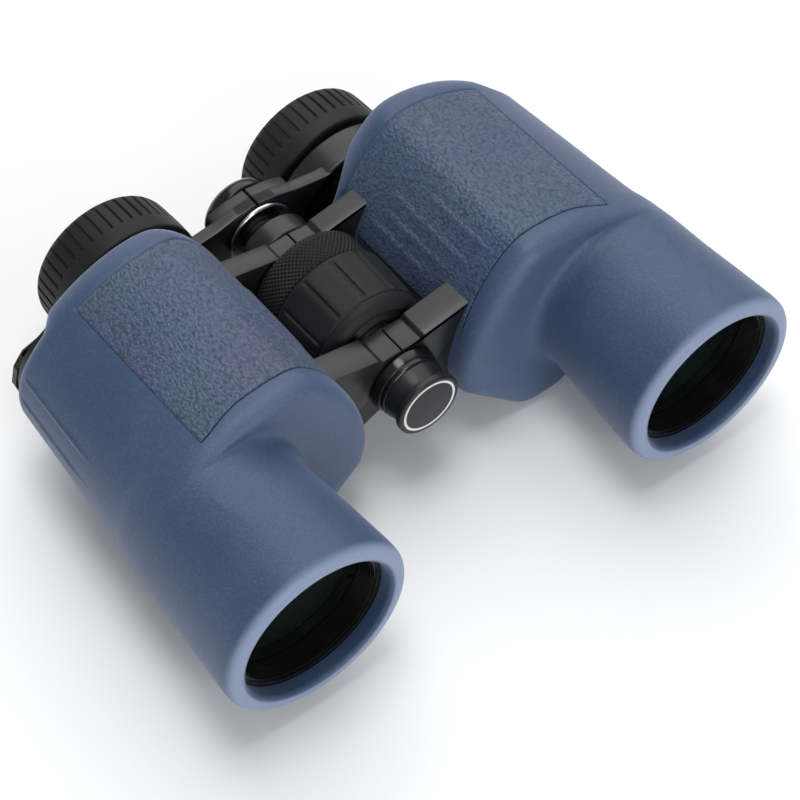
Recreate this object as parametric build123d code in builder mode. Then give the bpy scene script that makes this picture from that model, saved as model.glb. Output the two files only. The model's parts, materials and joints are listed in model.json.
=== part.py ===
"""Porro-prism binoculars with centre focus: every piece of both halves, the hinge, the wheel and the bridge.

Frame: +X to the left half as its user holds it, -Y towards what is looked at, +Z up, millimetres.
A station is a distance behind the front rim of the objectives. Outlines across the object are drawn
in (x, z) from the hinge axis, and turned parts in (station, radius) about their own axis.
The left half is modelled; the right one is its mirror image, but for the hinge knuckles and bridge.
"""
import math
import os

from build123d import *

os.makedirs("parts", exist_ok=True)

# --- driving sizes -------------------------------------------------------------------------------
overall_length = 138.6  # objective rim to eyecup rim
hinge_height = 33.4  # hinge axis above the surface that the housings rest on
objective_x = 62.94  # objective axis, from the hinge axis
objective_z = -0.45
eyepiece_x = 33.44  # eyepiece axis, from the hinge axis
eyepiece_z = -11.4
fold_angle = 38.0  # how far the right half folds down from fully open
focus_forward = 3.0  # travel of the bridge towards the housings
focus_rearward = 4.0
dioptre_travel = 1.2  # either way
eyecup_travel = 7.0

# clearances
running = 0.04  # radial, in every bearing and guide
seat = 0.1  # between pieces of one half that seat on each other
free = 0.35  # between pieces that move past each other

# rubber armour and prism housing
skin = 2.1  # thickness of the armour
wall = 1.8  # thickness of the casting
house_front = 41.0
house_rear = 105.0
shoulder_round = 4.0
rear_round = 3.0
front_radius = 23.5  # housing about the objective axis, at its front
rear_radius = 18.7  # the same at its rear
wheel_pocket = 18.4  # radius cleared round the wheel, about the hinge axis
pocket_front = 59.3
pocket_rear = 91.8
# corner circles of the housing's outline: x, z, radius
crest_corner = (37.0, 24.0, 7.5)
crown_bulge = (50.0, 17.4, 11.6)
hinge_corner = (25.0, -7.5, 10.3)
foot_inner = (40.0, -25.0, 8.4)
foot_outer = (45.0, -25.0, 8.4)

# objective barrel
lens_radius = 21.0
rim_radius = 26.75
rim_rounding = [(0, 2.35), (0.8, 0.95), (2.4, 0.15), (5, 0)]  # station, depth below the rim's radius
barrel_sides = [(16, 26.0), (30, 24.8), (38, 24.0)]  # station, radius
mouth_radius = 21.6  # rubber lip that the lens cap goes into
lip_bevel = 0.9
lip_front = 1.2
lip_rear = 4.4
barrel_bore = 22.1
barrel_wall = 1.5
barrel_step = 24.0  # where the bore ends and the barrel starts to taper

# grip panel
panel_thickness = 1.1
panel_front = 48.6
panel_rear = 100.4
panel_outer_x = 64.0
panel_inner_z = 4.0  # how far down the hinge side the panel reaches
panel_gap = 0.25

# hinge
knuckle_radius = 11.0
ring_radius = 8.5  # the inner ring that passes under the other half's knuckle
front_arm_front = 49.6
front_arm_rear = 58.7
rear_arm_front = 92.0
rear_arm_rear = 98.5
knuckle_gap = 0.15  # from the middle plane to each knuckle
pin_radius = 5.0
tube_radius = 6.5
fold_spare = 22.0  # angle left between the two knuckles, below, at full fold
knuckle_end_angle = 90.0 - (fold_angle + fold_spare) / 2  # how far below level a knuckle wraps
hub_growth = 0.2  # how much wider than the inner ring a knuckle is bored

# tripod socket
boss_front = 44.8
boss_radius = 9.4
boss_rear_radius = 10.1
socket_radius = 2.65
socket_depth = 10.0
cap_radius = 9.54
cap_front = 37.8
cap_disc = 2.2
cap_neck_radius = 8.8

# focusing wheel
wheel_rear = 91.4
grip_front = 60.4
grip_rear = 81.0
wheel_radius = 17.4
knurl_radius = 16.6
lobe_count = 12
lobe_depth = 0.7
lobe_width = 4.2
knurl_count = 72
core_radius = 13.2
screw_radius = 3.5

# eyepiece bridge
bridge_front = 111.4
bridge_rear = 118.0
bridge_thin_rear = 115.2  # the web is thinner outside the hub
bridge_thin_x = 11.6
bridge_ring_radius = 20.9
bridge_ring_rear = 121.1
bridge_cap_rear = 124.0
dioptre_front = 116.6
sleeve_radius = 10.75
sleeve_rear = 105.5
collar_front = sleeve_rear + focus_forward + 1.2
collar_radius = 10.08

# eyepieces
barrel_radius = 9.0  # where it slides in the rear cover's guide
barrel_flange_radius = 17.0  # where the bridge holds it
eyecup_front = 122.6
eyecup_radius = 21.5
eyecup_rear_radius = 20.9
eyecup_mouth = 15.2
eyecup_grooves = 42
eye_tube_radius = 15.6

# prisms
shelf_front = 72.0
shelf_thickness = 2.5
prism_length = 40.0
prism_width = 17.0
light_window = 8.0

half_length = overall_length / 2


def cross_plane(station):
    """Plane across the object at a station, in (x, z) from the hinge axis; it faces forward."""
    return Plane(origin=(0, station - half_length, hinge_height), x_dir=(1, 0, 0), z_dir=(0, -1, 0))


def lathe_plane(x, z):
    """Plane in (station, radius) through the fore-and-aft axis at x, z from the hinge axis."""
    return Plane(origin=(x, -half_length, hinge_height + z), x_dir=(0, 1, 0), z_dir=(1, 0, 0))


def lathe_axis(x, z):
    return Axis((x, -half_length, hinge_height + z), (0, 1, 0))


def turned(x, z, outline):
    """A solid turned about the axis at x, z, from its closed (station, radius) outline."""
    with BuildPart() as solid:
        with BuildSketch(lathe_plane(x, z)):
            with BuildLine():
                Polyline(*outline, close=True)
            make_face()
        revolve(axis=lathe_axis(x, z))
    return solid.part


def tube(x, z, front, rear, outer, inner=0.0):
    """A plain tube or rod between two stations."""
    return turned(x, z, [(front, inner), (front, outer), (rear, outer), (rear, inner)])


def save(name, solid):
    solid.label = name
    export_step(solid, f"parts/{name}.step")


def save_pair(name, solid):
    """The left half's piece and its mirror image in the right half."""
    save(f"left_{name}", solid)
    save(f"right_{name}", mirror(solid, about=Plane.YZ))


# --- housing outline -----------------------------------------------------------------------------
def objective_side_radius(station):
    """The housing narrows evenly to the rear about the objective axis."""
    share = (station - house_front) / (house_rear - house_front)
    return front_radius + share * (rear_radius - front_radius)


def housing_section(station, inset):
    """The housing's outline at a station, drawn in by inset: the hull of its corner circles."""
    corners = [crest_corner, crown_bulge, hinge_corner, foot_inner, foot_outer]
    corners.append((objective_x, objective_z, objective_side_radius(station)))
    with BuildSketch(cross_plane(station)) as section:
        with BuildLine():
            for x, z, radius in corners:
                CenterArc((x, z), radius - inset, 0, 360)
        make_hull()
    return section.sketch


def housing_body(front, rear, inset, front_fillet=0.0, rear_fillet=0.0):
    """The housing between two stations, with its pocket round the focusing wheel."""
    with BuildPart() as body:
        add(housing_section(front, inset))
        add(housing_section(rear, inset))
        loft(ruled=True)
        if front_fillet:
            fillet(body.faces().sort_by(Axis.Y)[0].edges(), front_fillet)
        if rear_fillet:
            fillet(body.faces().sort_by(Axis.Y)[-1].edges(), rear_fillet)
        pocket = tube(0, 0, pocket_front - inset, pocket_rear + inset, wheel_pocket + inset)
        add(pocket, mode=Mode.SUBTRACT)
    return body.part


def barrel_outer(station):
    """Outer radius of the metal barrel: parallel to its step, then tapering into the housing."""
    share = max(0.0, (station - barrel_step) / (house_front + 4 - barrel_step))
    straight = barrel_bore + barrel_wall
    tapered = front_radius - skin - seat
    return straight + share * (tapered - straight)


# --- bridge arms of the casting ------------------------------------------------------------------
def arm_outline():
    """The web from the hinge to the housing wall, level near the hinge and rising outwards."""
    crest = [(0, knuckle_radius - 0.1), (6.0, knuckle_radius - 0.9), (25.0, 14.6), (32.0, 16.0)]
    belly = [(34.0, -16.0), (19.0, -15.0), (9.0, -9.5), (0, -9.5)]
    return crest + belly


def arm(front, rear, own_ring_at_rear, growth=0.0):
    """One hinge arm of the left half: web, inner ring in half its width, knuckle over the other's."""
    middle = (front + rear) / 2
    ring_front, ring_rear = (middle + seat, rear) if own_ring_at_rear else (front, middle - seat)
    other_front, other_rear = (front - 1, middle + seat) if own_ring_at_rear else (middle - seat, rear + 1)
    with BuildPart() as web:
        with BuildSketch(cross_plane(rear + growth)):
            with BuildLine():
                Polyline(*arm_outline(), close=True)
            make_face()
            Circle(knuckle_radius)
            if growth:
                offset(amount=growth)
            with Locations((-60 + knuckle_gap, 0)):
                Rectangle(120, 120, mode=Mode.SUBTRACT)
            with BuildLine():
                reach = 3 * knuckle_radius
                start = math.radians(-knuckle_end_angle)
                Polyline(
                    (0, 0),
                    (reach * math.cos(start), reach * math.sin(start)),
                    (0, -reach),
                    close=True,
                )
            make_face(mode=Mode.SUBTRACT)
        extrude(amount=rear - front + 2 * growth)
        if not growth:
            add(tube(0, 0, other_front, other_rear, ring_radius + hub_growth), mode=Mode.SUBTRACT)
            add(tube(0, 0, ring_front, ring_rear, ring_radius))
    return web.part


def arm_to_wall(front, rear, own_ring_at_rear, inset):
    """An arm cut off where it would reach into the hollow of the housing."""
    with BuildPart() as piece:
        add(arm(front, rear, own_ring_at_rear))
        add(housing_body(house_front + inset, cover_front + 1, inset), mode=Mode.SUBTRACT)
    return piece.part


# --- casting of one half -------------------------------------------------------------------------
screw_places = [(crest_corner[0], crest_corner[1] + 1.4), (objective_x + 9.6, objective_z + 8.4)]
screw_places += [(objective_x + 6.6, objective_z - 11.6), (foot_outer[0] + 2.2, foot_outer[1] - 2.5)]
screw_radius_small = 1.0
screw_head_radius = 1.9
screw_post_radius = 2.6
cover_front = 103.7
cover_rear = 106.3
guide_rear = bridge_front - focus_forward - dioptre_travel - free


def casting(front_ring_at_rear, rear_ring_at_rear):
    """The die-cast housing and barrel of one half, hollow, open at the rear, with its two arms."""
    inset = skin + seat
    inner = inset + wall
    with BuildPart() as shell:
        add(housing_body(house_front + inset, cover_front - seat, inset))
        barrel = [
            (lip_rear + seat, 0),
            (lip_rear + seat, barrel_outer(0)),
            (barrel_step, barrel_outer(barrel_step)),
            (house_front + 4, barrel_outer(house_front + 4)),
            (house_front + 4, 0),
        ]
        add(turned(objective_x, objective_z, barrel))
        cavity = housing_body(house_front + inner, cover_front + 1, inner)
        add(cavity, mode=Mode.SUBTRACT)
        taper_bore = barrel_outer(house_front + 4) - wall
        bore = [
            (0, 0),
            (0, barrel_bore),
            (barrel_step, barrel_bore),
            (barrel_step, taper_bore),
            (house_front + 5, taper_bore),
            (house_front + 5, 0),
        ]
        add(turned(objective_x, objective_z, bore), mode=Mode.SUBTRACT)
        add(arm_to_wall(front_arm_front, front_arm_rear, front_ring_at_rear, inner))
        add(arm_to_wall(rear_arm_front, rear_arm_rear, rear_ring_at_rear, inner))
        with BuildSketch(cross_plane(cover_front - seat)):
            with Locations(*screw_places):
                Circle(screw_post_radius)
        extrude(amount=6.0)
        with BuildSketch(cross_plane(cover_front)):
            with Locations(*screw_places):
                Circle(screw_radius_small + 0.02)
        extrude(amount=6.0, mode=Mode.SUBTRACT)
        pin_bore = pin_radius + running
        add(tube(0, 0, front_arm_front - 1, front_arm_rear + 1, pin_bore), mode=Mode.SUBTRACT)
        tube_bore = tube_radius + running
        add(tube(0, 0, rear_arm_front - 1, rear_arm_rear + 1, tube_bore), mode=Mode.SUBTRACT)
    return shell.part


left_casting = casting(front_ring_at_rear=True, rear_ring_at_rear=True)
save("left_body_shell", left_casting)
right_casting = casting(front_ring_at_rear=False, rear_ring_at_rear=False)
save("right_body_shell", mirror(right_casting, about=Plane.YZ))


# --- armour and grip panel -----------------------------------------------------------------------
def panel_region(margin):
    """The stretch of housing under the grip panel, wide enough to cut its thickness out of it."""
    with BuildPart() as region:
        with BuildSketch(cross_plane(panel_rear + margin)):
            with BuildLine():
                Polyline(
                    (panel_outer_x + margin, 45),
                    (panel_outer_x + margin, 12),
                    (40, 2),
                    (24, panel_inner_z - margin),
                    (0, panel_inner_z - margin),
                    (0, 45),
                    close=True,
                )
            make_face()
        extrude(amount=panel_rear - panel_front + 2 * margin)
        for front, rear in ((front_arm_front, front_arm_rear), (rear_arm_front, rear_arm_rear)):
            add(arm(front, rear, True, growth=0.6 - margin), mode=Mode.SUBTRACT)
    return region.part


with BuildPart() as panel_bed:
    add(housing_body(house_front - 1, house_rear + 1, -1.0))
    add(housing_body(house_front - 2, house_rear + 2, panel_thickness + seat), mode=Mode.SUBTRACT)
    add(panel_region(panel_gap), mode=Mode.INTERSECT)

with BuildPart() as armour:
    add(housing_body(house_front, house_rear, 0, shoulder_round, rear_round))
    barrel_end = house_front + 9.0
    barrel_profile = [(0, 0)]
    barrel_profile += [(station, rim_radius - depth) for station, depth in rim_rounding]
    barrel_profile += barrel_sides
    barrel_profile += [(barrel_end, objective_side_radius(barrel_end) - 0.5), (barrel_end, 0)]
    add(turned(objective_x, objective_z, barrel_profile))
    add(housing_body(house_front + skin, house_rear + 1, skin), mode=Mode.SUBTRACT)
    hollow = [
        (-1, 0),
        (-1, mouth_radius + lip_bevel),
        (0, mouth_radius + lip_bevel),
        (lip_front, mouth_radius),
        (lip_rear, mouth_radius),
        (lip_rear, barrel_outer(0) + seat),
        (barrel_step, barrel_outer(0) + seat),
        (house_front + 4, barrel_outer(house_front + 4) + seat),
        (house_front + 10, barrel_outer(house_front + 4) + seat),
        (house_front + 10, 0),
    ]
    add(turned(objective_x, objective_z, hollow), mode=Mode.SUBTRACT)
    for front, rear in ((front_arm_front, front_arm_rear), (rear_arm_front, rear_arm_rear)):
        add(arm(front, rear, True, growth=seat), mode=Mode.SUBTRACT)
    add(panel_bed.part, mode=Mode.SUBTRACT)
save_pair("armour", armour.part)

with BuildPart() as grip_panel:
    add(housing_body(house_front, house_rear, 0, shoulder_round, rear_round))
    add(housing_body(house_front - 1, house_rear + 1, panel_thickness), mode=Mode.SUBTRACT)
    add(panel_region(0), mode=Mode.INTERSECT)
save_pair("grip_panel", grip_panel.part)


# --- objective: cell, doublet, retaining ring ----------------------------------------------------
cell_front = lip_rear + seat
cell_rear = barrel_step - seat
cell_throat = 20.6  # bore ahead of the glass
ridge_depth = 0.5
ridge_pitch = 1.2
ridge_count = 5
ridges_front = 5.4
glass_seat = 12.0  # where the bore steps out to take the lenses
glass_stop = 21.9
cell_aperture = 19.3
lens_gap = 0.1
crown_front_edge = 14.6
crown_rear_edge = 17.2
crown_front_sag = 2.0
flint_rear_edge = glass_stop - lens_gap
contact_sag = 2.3
flint_rear_sag = 0.4


def sag_at_half(radius, sag):
    """How far a spherical face has risen from its rim, half its radius away from the axis."""
    sphere = (radius**2 + sag**2) / (2 * abs(sag))
    rise = math.sqrt(sphere**2 - radius**2 / 4) - (sphere - abs(sag))
    return math.copysign(rise, sag)


def lens(x, z, radius, front_edge, front_sag, rear_edge, rear_sag):
    """A lens turned about the axis at x, z; a positive sag bulges away from the glass."""
    front_mid = (front_edge - sag_at_half(radius, front_sag), radius / 2)
    rear_mid = (rear_edge + sag_at_half(radius, rear_sag), radius / 2)
    with BuildPart() as glass:
        with BuildSketch(lathe_plane(x, z)):
            with BuildLine():
                ThreePointArc((front_edge - front_sag, 0), front_mid, (front_edge, radius))
                Line((front_edge, radius), (rear_edge, radius))
                ThreePointArc((rear_edge, radius), rear_mid, (rear_edge + rear_sag, 0))
                Line((rear_edge + rear_sag, 0), (front_edge - front_sag, 0))
            make_face()
        revolve(axis=lathe_axis(x, z))
    return glass.part


cell_outline = [(cell_front, cell_throat), (cell_front, barrel_bore - seat / 2)]
cell_outline += [(cell_rear, barrel_bore - seat / 2), (cell_rear, cell_aperture)]
cell_outline += [(glass_stop, cell_aperture), (glass_stop, lens_radius + lens_gap)]
cell_outline += [(glass_seat, lens_radius + lens_gap), (glass_seat, cell_throat)]
for ridge in reversed(range(ridge_count)):
    crest = ridges_front + ridge * ridge_pitch
    cell_outline += [(crest + 0.3, cell_throat), (crest + 0.15, cell_throat - ridge_depth)]
    cell_outline += [(crest, cell_throat)]
save_pair("objective_cell", turned(objective_x, objective_z, cell_outline))

save_pair(
    "objective_crown_lens",
    lens(
        objective_x,
        objective_z,
        lens_radius,
        crown_front_edge,
        crown_front_sag,
        crown_rear_edge,
        contact_sag,
    ),
)
save_pair(
    "objective_flint_lens",
    lens(
        objective_x,
        objective_z,
        lens_radius,
        crown_rear_edge + lens_gap,
        -contact_sag,
        flint_rear_edge,
        flint_rear_sag - lens_gap,
    ),
)

ring_depth = 2.0
ring_gap = 0.5  # the glass bulges by this much inside the ring
ring_inner = 19.2
notch_width = 1.6
with BuildPart() as retaining_ring:
    ring_rear = crown_front_edge - ring_gap
    ring_front = ring_rear - ring_depth
    add(tube(objective_x, objective_z, ring_front, ring_rear, lens_radius, ring_inner))
    with BuildSketch(cross_plane(ring_front + ring_depth / 2)):
        with Locations((objective_x, objective_z)):
            with PolarLocations(ring_inner, 2, start_angle=20):
                Rectangle(2.4, notch_width)
    extrude(amount=ring_depth, mode=Mode.SUBTRACT)
save_pair("retaining_ring", retaining_ring.part)

# --- prisms on their shelf -----------------------------------------------------------------------
turn_x = 42.7  # the folded light path between the two prisms, from the hinge axis
turn_z = 8.8
shelf_rear = shelf_front + shelf_thickness
clip_width = 5.0
clip_thickness = 0.5
clip_foot = 3.2  # how far a clip's foot reaches out from the glass
clip_gap = 0.15


def between(first, second):
    """Middle and direction, in degrees, of the line between two (x, z) points."""
    middle = ((first[0] + second[0]) / 2, (first[1] + second[1]) / 2)
    direction = math.degrees(math.atan2(second[1] - first[1], second[0] - first[0]))
    return middle, direction


def prism_frame(middle, direction, station):
    """Origin at the middle of a prism's long face, and the directions along and across that face."""
    turn = math.radians(direction)
    origin = (middle[0], station - half_length, hinge_height + middle[1])
    along = Vector(math.cos(turn), 0, math.sin(turn))
    across = Vector(-math.sin(turn), 0, math.cos(turn))
    return origin, along, across


def prism(middle, direction, station, apex):
    """A Porro prism with rounded ends; apex is how far behind its long face its edge lies."""
    origin, along, across = prism_frame(middle, direction, station)
    half = prism_length / 2
    with BuildPart() as glass:
        with BuildSketch(Plane(origin=origin, x_dir=along, z_dir=across)):
            with BuildLine():
                Polyline((-half, 0), (half, 0), (0, apex), close=True)
            make_face()
        extrude(amount=prism_width / 2, both=True)
        with BuildSketch(Plane(origin=origin, x_dir=along, z_dir=(0, 1, 0))):
            SlotOverall(prism_length, prism_width)
        extrude(amount=abs(apex) + 1, both=True, mode=Mode.INTERSECT)
    return glass.part


def clip(middle, direction, station, apex):
    """A spring strip across a prism's edge and down both sides, with two feet on the shelf."""
    origin, along, across = prism_frame(middle, direction, station)
    sign = math.copysign(1, apex)
    inner = prism_width / 2 + clip_gap
    outer = inner + clip_thickness
    foot = prism_width / 2 + clip_foot
    step = sign * clip_thickness
    one_side = [(inner, 0), (foot, 0), (foot, step), (outer, step)]
    one_side += [(outer, apex + sign * (clip_gap + clip_thickness))]
    other_side = [(-x, y) for x, y in reversed(one_side)]
    top = apex + sign * clip_gap
    with BuildPart() as strip:
        with BuildSketch(Plane(origin=origin, x_dir=across, z_dir=-along)):
            with BuildLine():
                Polyline(*one_side, *other_side, (-inner, top), (inner, top), close=True)
            make_face()
        extrude(amount=clip_width / 2, both=True)
    return strip.part


objective_point = (objective_x, objective_z)
turn_point = (turn_x, turn_z)
eyepiece_point = (eyepiece_x, eyepiece_z)
rear_middle, rear_direction = between(objective_point, turn_point)
front_middle, front_direction = between(turn_point, eyepiece_point)
apex_depth = prism_length / 2

with BuildPart() as prism_shelf:
    add(housing_body(shelf_front, shelf_rear, skin + wall + 3 * seat))
    with BuildSketch(cross_plane(shelf_rear)):
        with Locations(objective_point, turn_point, eyepiece_point):
            Circle(light_window)
    extrude(amount=shelf_thickness, mode=Mode.SUBTRACT)
save_pair("prism_shelf", prism_shelf.part)
save_pair("rear_prism", prism(rear_middle, rear_direction, shelf_rear + seat, apex_depth))
save_pair("front_prism", prism(front_middle, front_direction, shelf_front - seat, -apex_depth))
with BuildPart() as prism_clips:
    add(clip(rear_middle, rear_direction, shelf_rear, apex_depth + seat))
    add(clip(front_middle, front_direction, shelf_front, -apex_depth - seat))
save_pair("prism_clips", prism_clips.part)

# --- rear cover, its screws and the strap lug ----------------------------------------------------
guide_radius = 16.8
ring_groove_front = 104.6
ring_groove_width = 1.6
ring_groove_radius = barrel_radius + 1.5
head_depth = 1.4
lug_rear = 109.0
slot_front = 106.6
slot_rear = 107.8
slot_width = 5.0
slot_x = 11.0  # from the objective axis
with BuildPart() as rear_cover:
    add(housing_body(cover_front, cover_rear, skin + seat))
    add(tube(eyepiece_x, eyepiece_z, house_rear + free, guide_rear, guide_radius))
    guide_bore = barrel_radius + running
    add(
        tube(eyepiece_x, eyepiece_z, cover_front - 1, guide_rear + 1, guide_bore),
        mode=Mode.SUBTRACT,
    )
    groove_rear = ring_groove_front + ring_groove_width
    add(
        tube(eyepiece_x, eyepiece_z, ring_groove_front, groove_rear, ring_groove_radius),
        mode=Mode.SUBTRACT,
    )
    with BuildSketch(cross_plane(cover_rear)):
        with Locations(*screw_places):
            Circle(screw_head_radius + seat)
    extrude(amount=head_depth + seat, mode=Mode.SUBTRACT)
    with BuildSketch(cross_plane(cover_rear)):
        with Locations(*screw_places):
            Circle(screw_radius_small + seat)
    extrude(amount=cover_rear - cover_front + 1, mode=Mode.SUBTRACT)
save_pair("rear_cover", rear_cover.part)

with BuildPart() as cover_screws:
    with BuildSketch(cross_plane(cover_rear)):
        with Locations(*screw_places):
            Circle(screw_head_radius)
            Rectangle(2.6, 0.5, mode=Mode.SUBTRACT)
    extrude(amount=0.7)
    with BuildSketch(cross_plane(cover_rear - 0.7)):
        with Locations(*screw_places):
            Circle(screw_head_radius)
    extrude(amount=head_depth - 0.7)
    with BuildSketch(cross_plane(cover_rear - head_depth)):
        with Locations(*screw_places):
            Circle(screw_radius_small)
    extrude(amount=5.0)
save_pair("cover_screws", cover_screws.part)

with BuildPart() as barrel_ring:
    ring_section_radius = ring_groove_width / 2 - 0.15
    section_centre = barrel_radius + running + ring_section_radius
    with BuildSketch(lathe_plane(eyepiece_x, eyepiece_z)):
        with Locations((ring_groove_front + ring_groove_width / 2, section_centre)):
            Circle(ring_section_radius)
    revolve(axis=lathe_axis(eyepiece_x, eyepiece_z))
save_pair("barrel_ring_seal", barrel_ring.part)

# the lug's corners, about the objective axis
lug_corners = [(4.5, 12.0), (13.0, 9.0), (16.0, 5.0), (17.0, -0.5), (15.5, -5.5), (10.0, -8.4)]
lug_corners += [(2.0, -6.0), (-1.0, 2.0)]
lug_outline = [(objective_x + x, objective_z + z) for x, z in lug_corners]
with BuildPart() as strap_lug:
    with BuildSketch(cross_plane(lug_rear)):
        with BuildLine():
            Polyline(*lug_outline, close=True)
        make_face()
    extrude(amount=lug_rear - cover_rear - seat / 2)
    chamfer(strap_lug.edges().group_by(Axis.Y)[-1], 0.8)
    with BuildSketch(Plane.XY.offset(hinge_height)):
        with Locations((objective_x + slot_x, (slot_front + slot_rear) / 2 - half_length)):
            Rectangle(slot_width, slot_rear - slot_front)
    extrude(amount=40, both=True, mode=Mode.SUBTRACT)
save_pair("strap_lug", strap_lug.part)

# --- hinge: front pin with the tripod thread, rear tube with the sleeve behind the arms ----------
pin_rear = 65.0
tube_front = 86.0
washer_thickness = 0.8
boss_rear = front_arm_front - 0.15
sleeve_front = rear_arm_rear + 0.15
sleeve_bore = 8.6
pin_outline = [(boss_front, socket_radius), (boss_front, boss_radius - 0.3)]
pin_outline += [(boss_front + 0.3, boss_radius), (boss_rear - 0.5, boss_rear_radius)]
pin_outline += [(boss_rear, boss_rear_radius - 0.5), (boss_rear, pin_radius), (pin_rear, pin_radius)]
pin_outline += [(pin_rear, 0), (boss_front + socket_depth, 0)]
pin_outline += [(boss_front + socket_depth, socket_radius)]
save("front_hinge_pin", turned(0, 0, pin_outline))

screw_bore = screw_radius + running
tube_outline = [(tube_front, screw_bore), (tube_front, tube_radius), (sleeve_front, tube_radius)]
tube_outline += [(sleeve_front, sleeve_radius - 0.4), (sleeve_front + 0.4, sleeve_radius)]
tube_outline += [(sleeve_rear - 0.4, sleeve_radius), (sleeve_rear, sleeve_radius - 0.4)]
tube_outline += [(sleeve_rear, sleeve_bore), (sleeve_front + 2.0, sleeve_bore)]
tube_outline += [(sleeve_front + 2.0, screw_bore)]
save("rear_hinge_tube", turned(0, 0, tube_outline))

with BuildPart() as thrust_washers:
    front_washer = front_arm_rear + 0.15
    rear_washer = rear_arm_front - 0.15 - washer_thickness / 2
    add(tube(0, 0, front_washer, front_washer + washer_thickness, 9.0, pin_radius + 0.02))
    add(tube(0, 0, rear_washer, rear_washer + washer_thickness / 2, 9.4, tube_radius + 0.02))
save("thrust_washers", thrust_washers.part)

# --- cap of the tripod socket --------------------------------------------------------------------
plug_length = 6.0
plug_radius = socket_radius - running
cap_face_recess = 0.25
cap_ring_outer = 8.2
cap_ring_inner = 7.5
neck_front = cap_front + cap_disc
neck_rear = boss_front - 0.1
with BuildPart() as tripod_cap:
    cap_outline = [(cap_front, 0), (cap_front, cap_radius - 0.4), (cap_front + 0.4, cap_radius)]
    cap_outline += [(neck_front - 0.3, cap_radius), (neck_front, cap_radius - 0.3)]
    cap_outline += [(neck_front, cap_neck_radius - 0.6), (neck_front + 1.2, cap_neck_radius - 0.4)]
    cap_outline += [(neck_rear, cap_neck_radius + 0.4), (neck_rear, plug_radius)]
    cap_outline += [(neck_rear + plug_length, plug_radius), (neck_rear + plug_length, 0)]
    add(turned(0, 0, cap_outline))
    add(
        tube(0, 0, cap_front - 1, cap_front + cap_face_recess, cap_ring_outer, cap_ring_inner),
        mode=Mode.SUBTRACT,
    )
save("tripod_cap", tripod_cap.part)

with BuildPart() as cap_ring:
    add(
        tube(
            0,
            0,
            cap_front,
            cap_front + cap_face_recess - 0.02,
            cap_ring_outer - 0.05,
            cap_ring_inner + 0.05,
        )
    )
save("cap_ring", cap_ring.part)

# --- focusing wheel ------------------------------------------------------------------------------
# how far behind the grip's front, how far below its radius
nose_rounding = [(0, 3.5), (1.0, 2.2), (2.8, 1.1), (5.6, 0.5), (10.6, 0.2), (15.6, 0)]
core_front = front_arm_rear + 0.15 + washer_thickness + 0.1
core_rear = rear_arm_front - 0.15 - washer_thickness / 2 - 0.1
core_outline = [(core_front, pin_radius + running), (core_front, core_radius - 1.5)]
core_outline += [(core_front + 0.8, core_radius), (core_rear - 0.5, core_radius)]
core_outline += [(core_rear, core_radius - 0.5), (core_rear, tube_radius + running)]
core_outline += [(tube_front - 0.2, tube_radius + running), (tube_front - 0.2, screw_bore)]
core_outline += [(pin_rear + 0.2, screw_bore), (pin_rear + 0.2, pin_radius + running)]
save("focus_wheel_core", turned(0, 0, core_outline))

with BuildPart() as focus_wheel_grip:
    grip_outline = [(grip_front, core_radius + 0.05)]
    grip_outline += [(grip_front + back, wheel_radius - depth) for back, depth in nose_rounding]
    grip_outline += [(grip_rear - 0.5, wheel_radius), (grip_rear, wheel_radius - 0.5)]
    grip_outline += [(grip_rear, core_radius + 0.05)]
    add(turned(0, 0, grip_outline))
    with BuildSketch(cross_plane(grip_rear - 1.2)):
        with PolarLocations(wheel_radius - lobe_depth, lobe_count):
            Rectangle(lobe_width, lobe_width, align=(Align.MIN, Align.CENTER))
    extrude(amount=grip_rear - grip_front, mode=Mode.SUBTRACT)
save("focus_wheel_grip", focus_wheel_grip.part)

with BuildPart() as focus_wheel_knurl:
    knurl_front = grip_rear + seat
    knurl_outline = [(knurl_front, core_radius + 0.05), (knurl_front, knurl_radius)]
    knurl_outline += [(wheel_rear - 1.0, knurl_radius), (wheel_rear, knurl_radius - 1.0)]
    knurl_outline += [(wheel_rear, core_radius + 0.05)]
    add(turned(0, 0, knurl_outline))
    with BuildSketch(cross_plane(wheel_rear)):
        with PolarLocations(knurl_radius, knurl_count):
            Rectangle(0.8, 0.7)
    extrude(amount=wheel_rear - knurl_front - 0.6, mode=Mode.SUBTRACT)
save("focus_wheel_knurl", focus_wheel_knurl.part)

# --- eyepiece bridge -----------------------------------------------------------------------------
screw_front = pin_rear + focus_forward + 1.0
bridge_bore = screw_radius + 1.0
hub_middle = (bridge_front + bridge_rear) / 2
screw_outline = [(screw_front, 0), (screw_front, screw_radius)]
screw_outline += [(collar_front - 1.2, screw_radius), (collar_front - 1.2, bridge_bore + 1.5)]
screw_outline += [(collar_front - 0.1, bridge_bore + 1.5), (collar_front - 0.1, bridge_bore)]
screw_outline += [(bridge_cap_rear - 2.6, bridge_bore), (bridge_cap_rear - 2.6, 0)]
save("focus_screw", turned(0, 0, screw_outline))

collar_rear = bridge_front - seat
collar_outline = [(collar_front, bridge_bore + 0.02), (collar_front, collar_radius - 0.7)]
collar_outline += [(collar_front + 0.4, collar_radius), (collar_rear, collar_radius)]
collar_outline += [(collar_rear, bridge_bore + 0.02)]
save("bridge_collar", turned(0, 0, collar_outline))

end_cap_front = bridge_rear + seat
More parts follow.
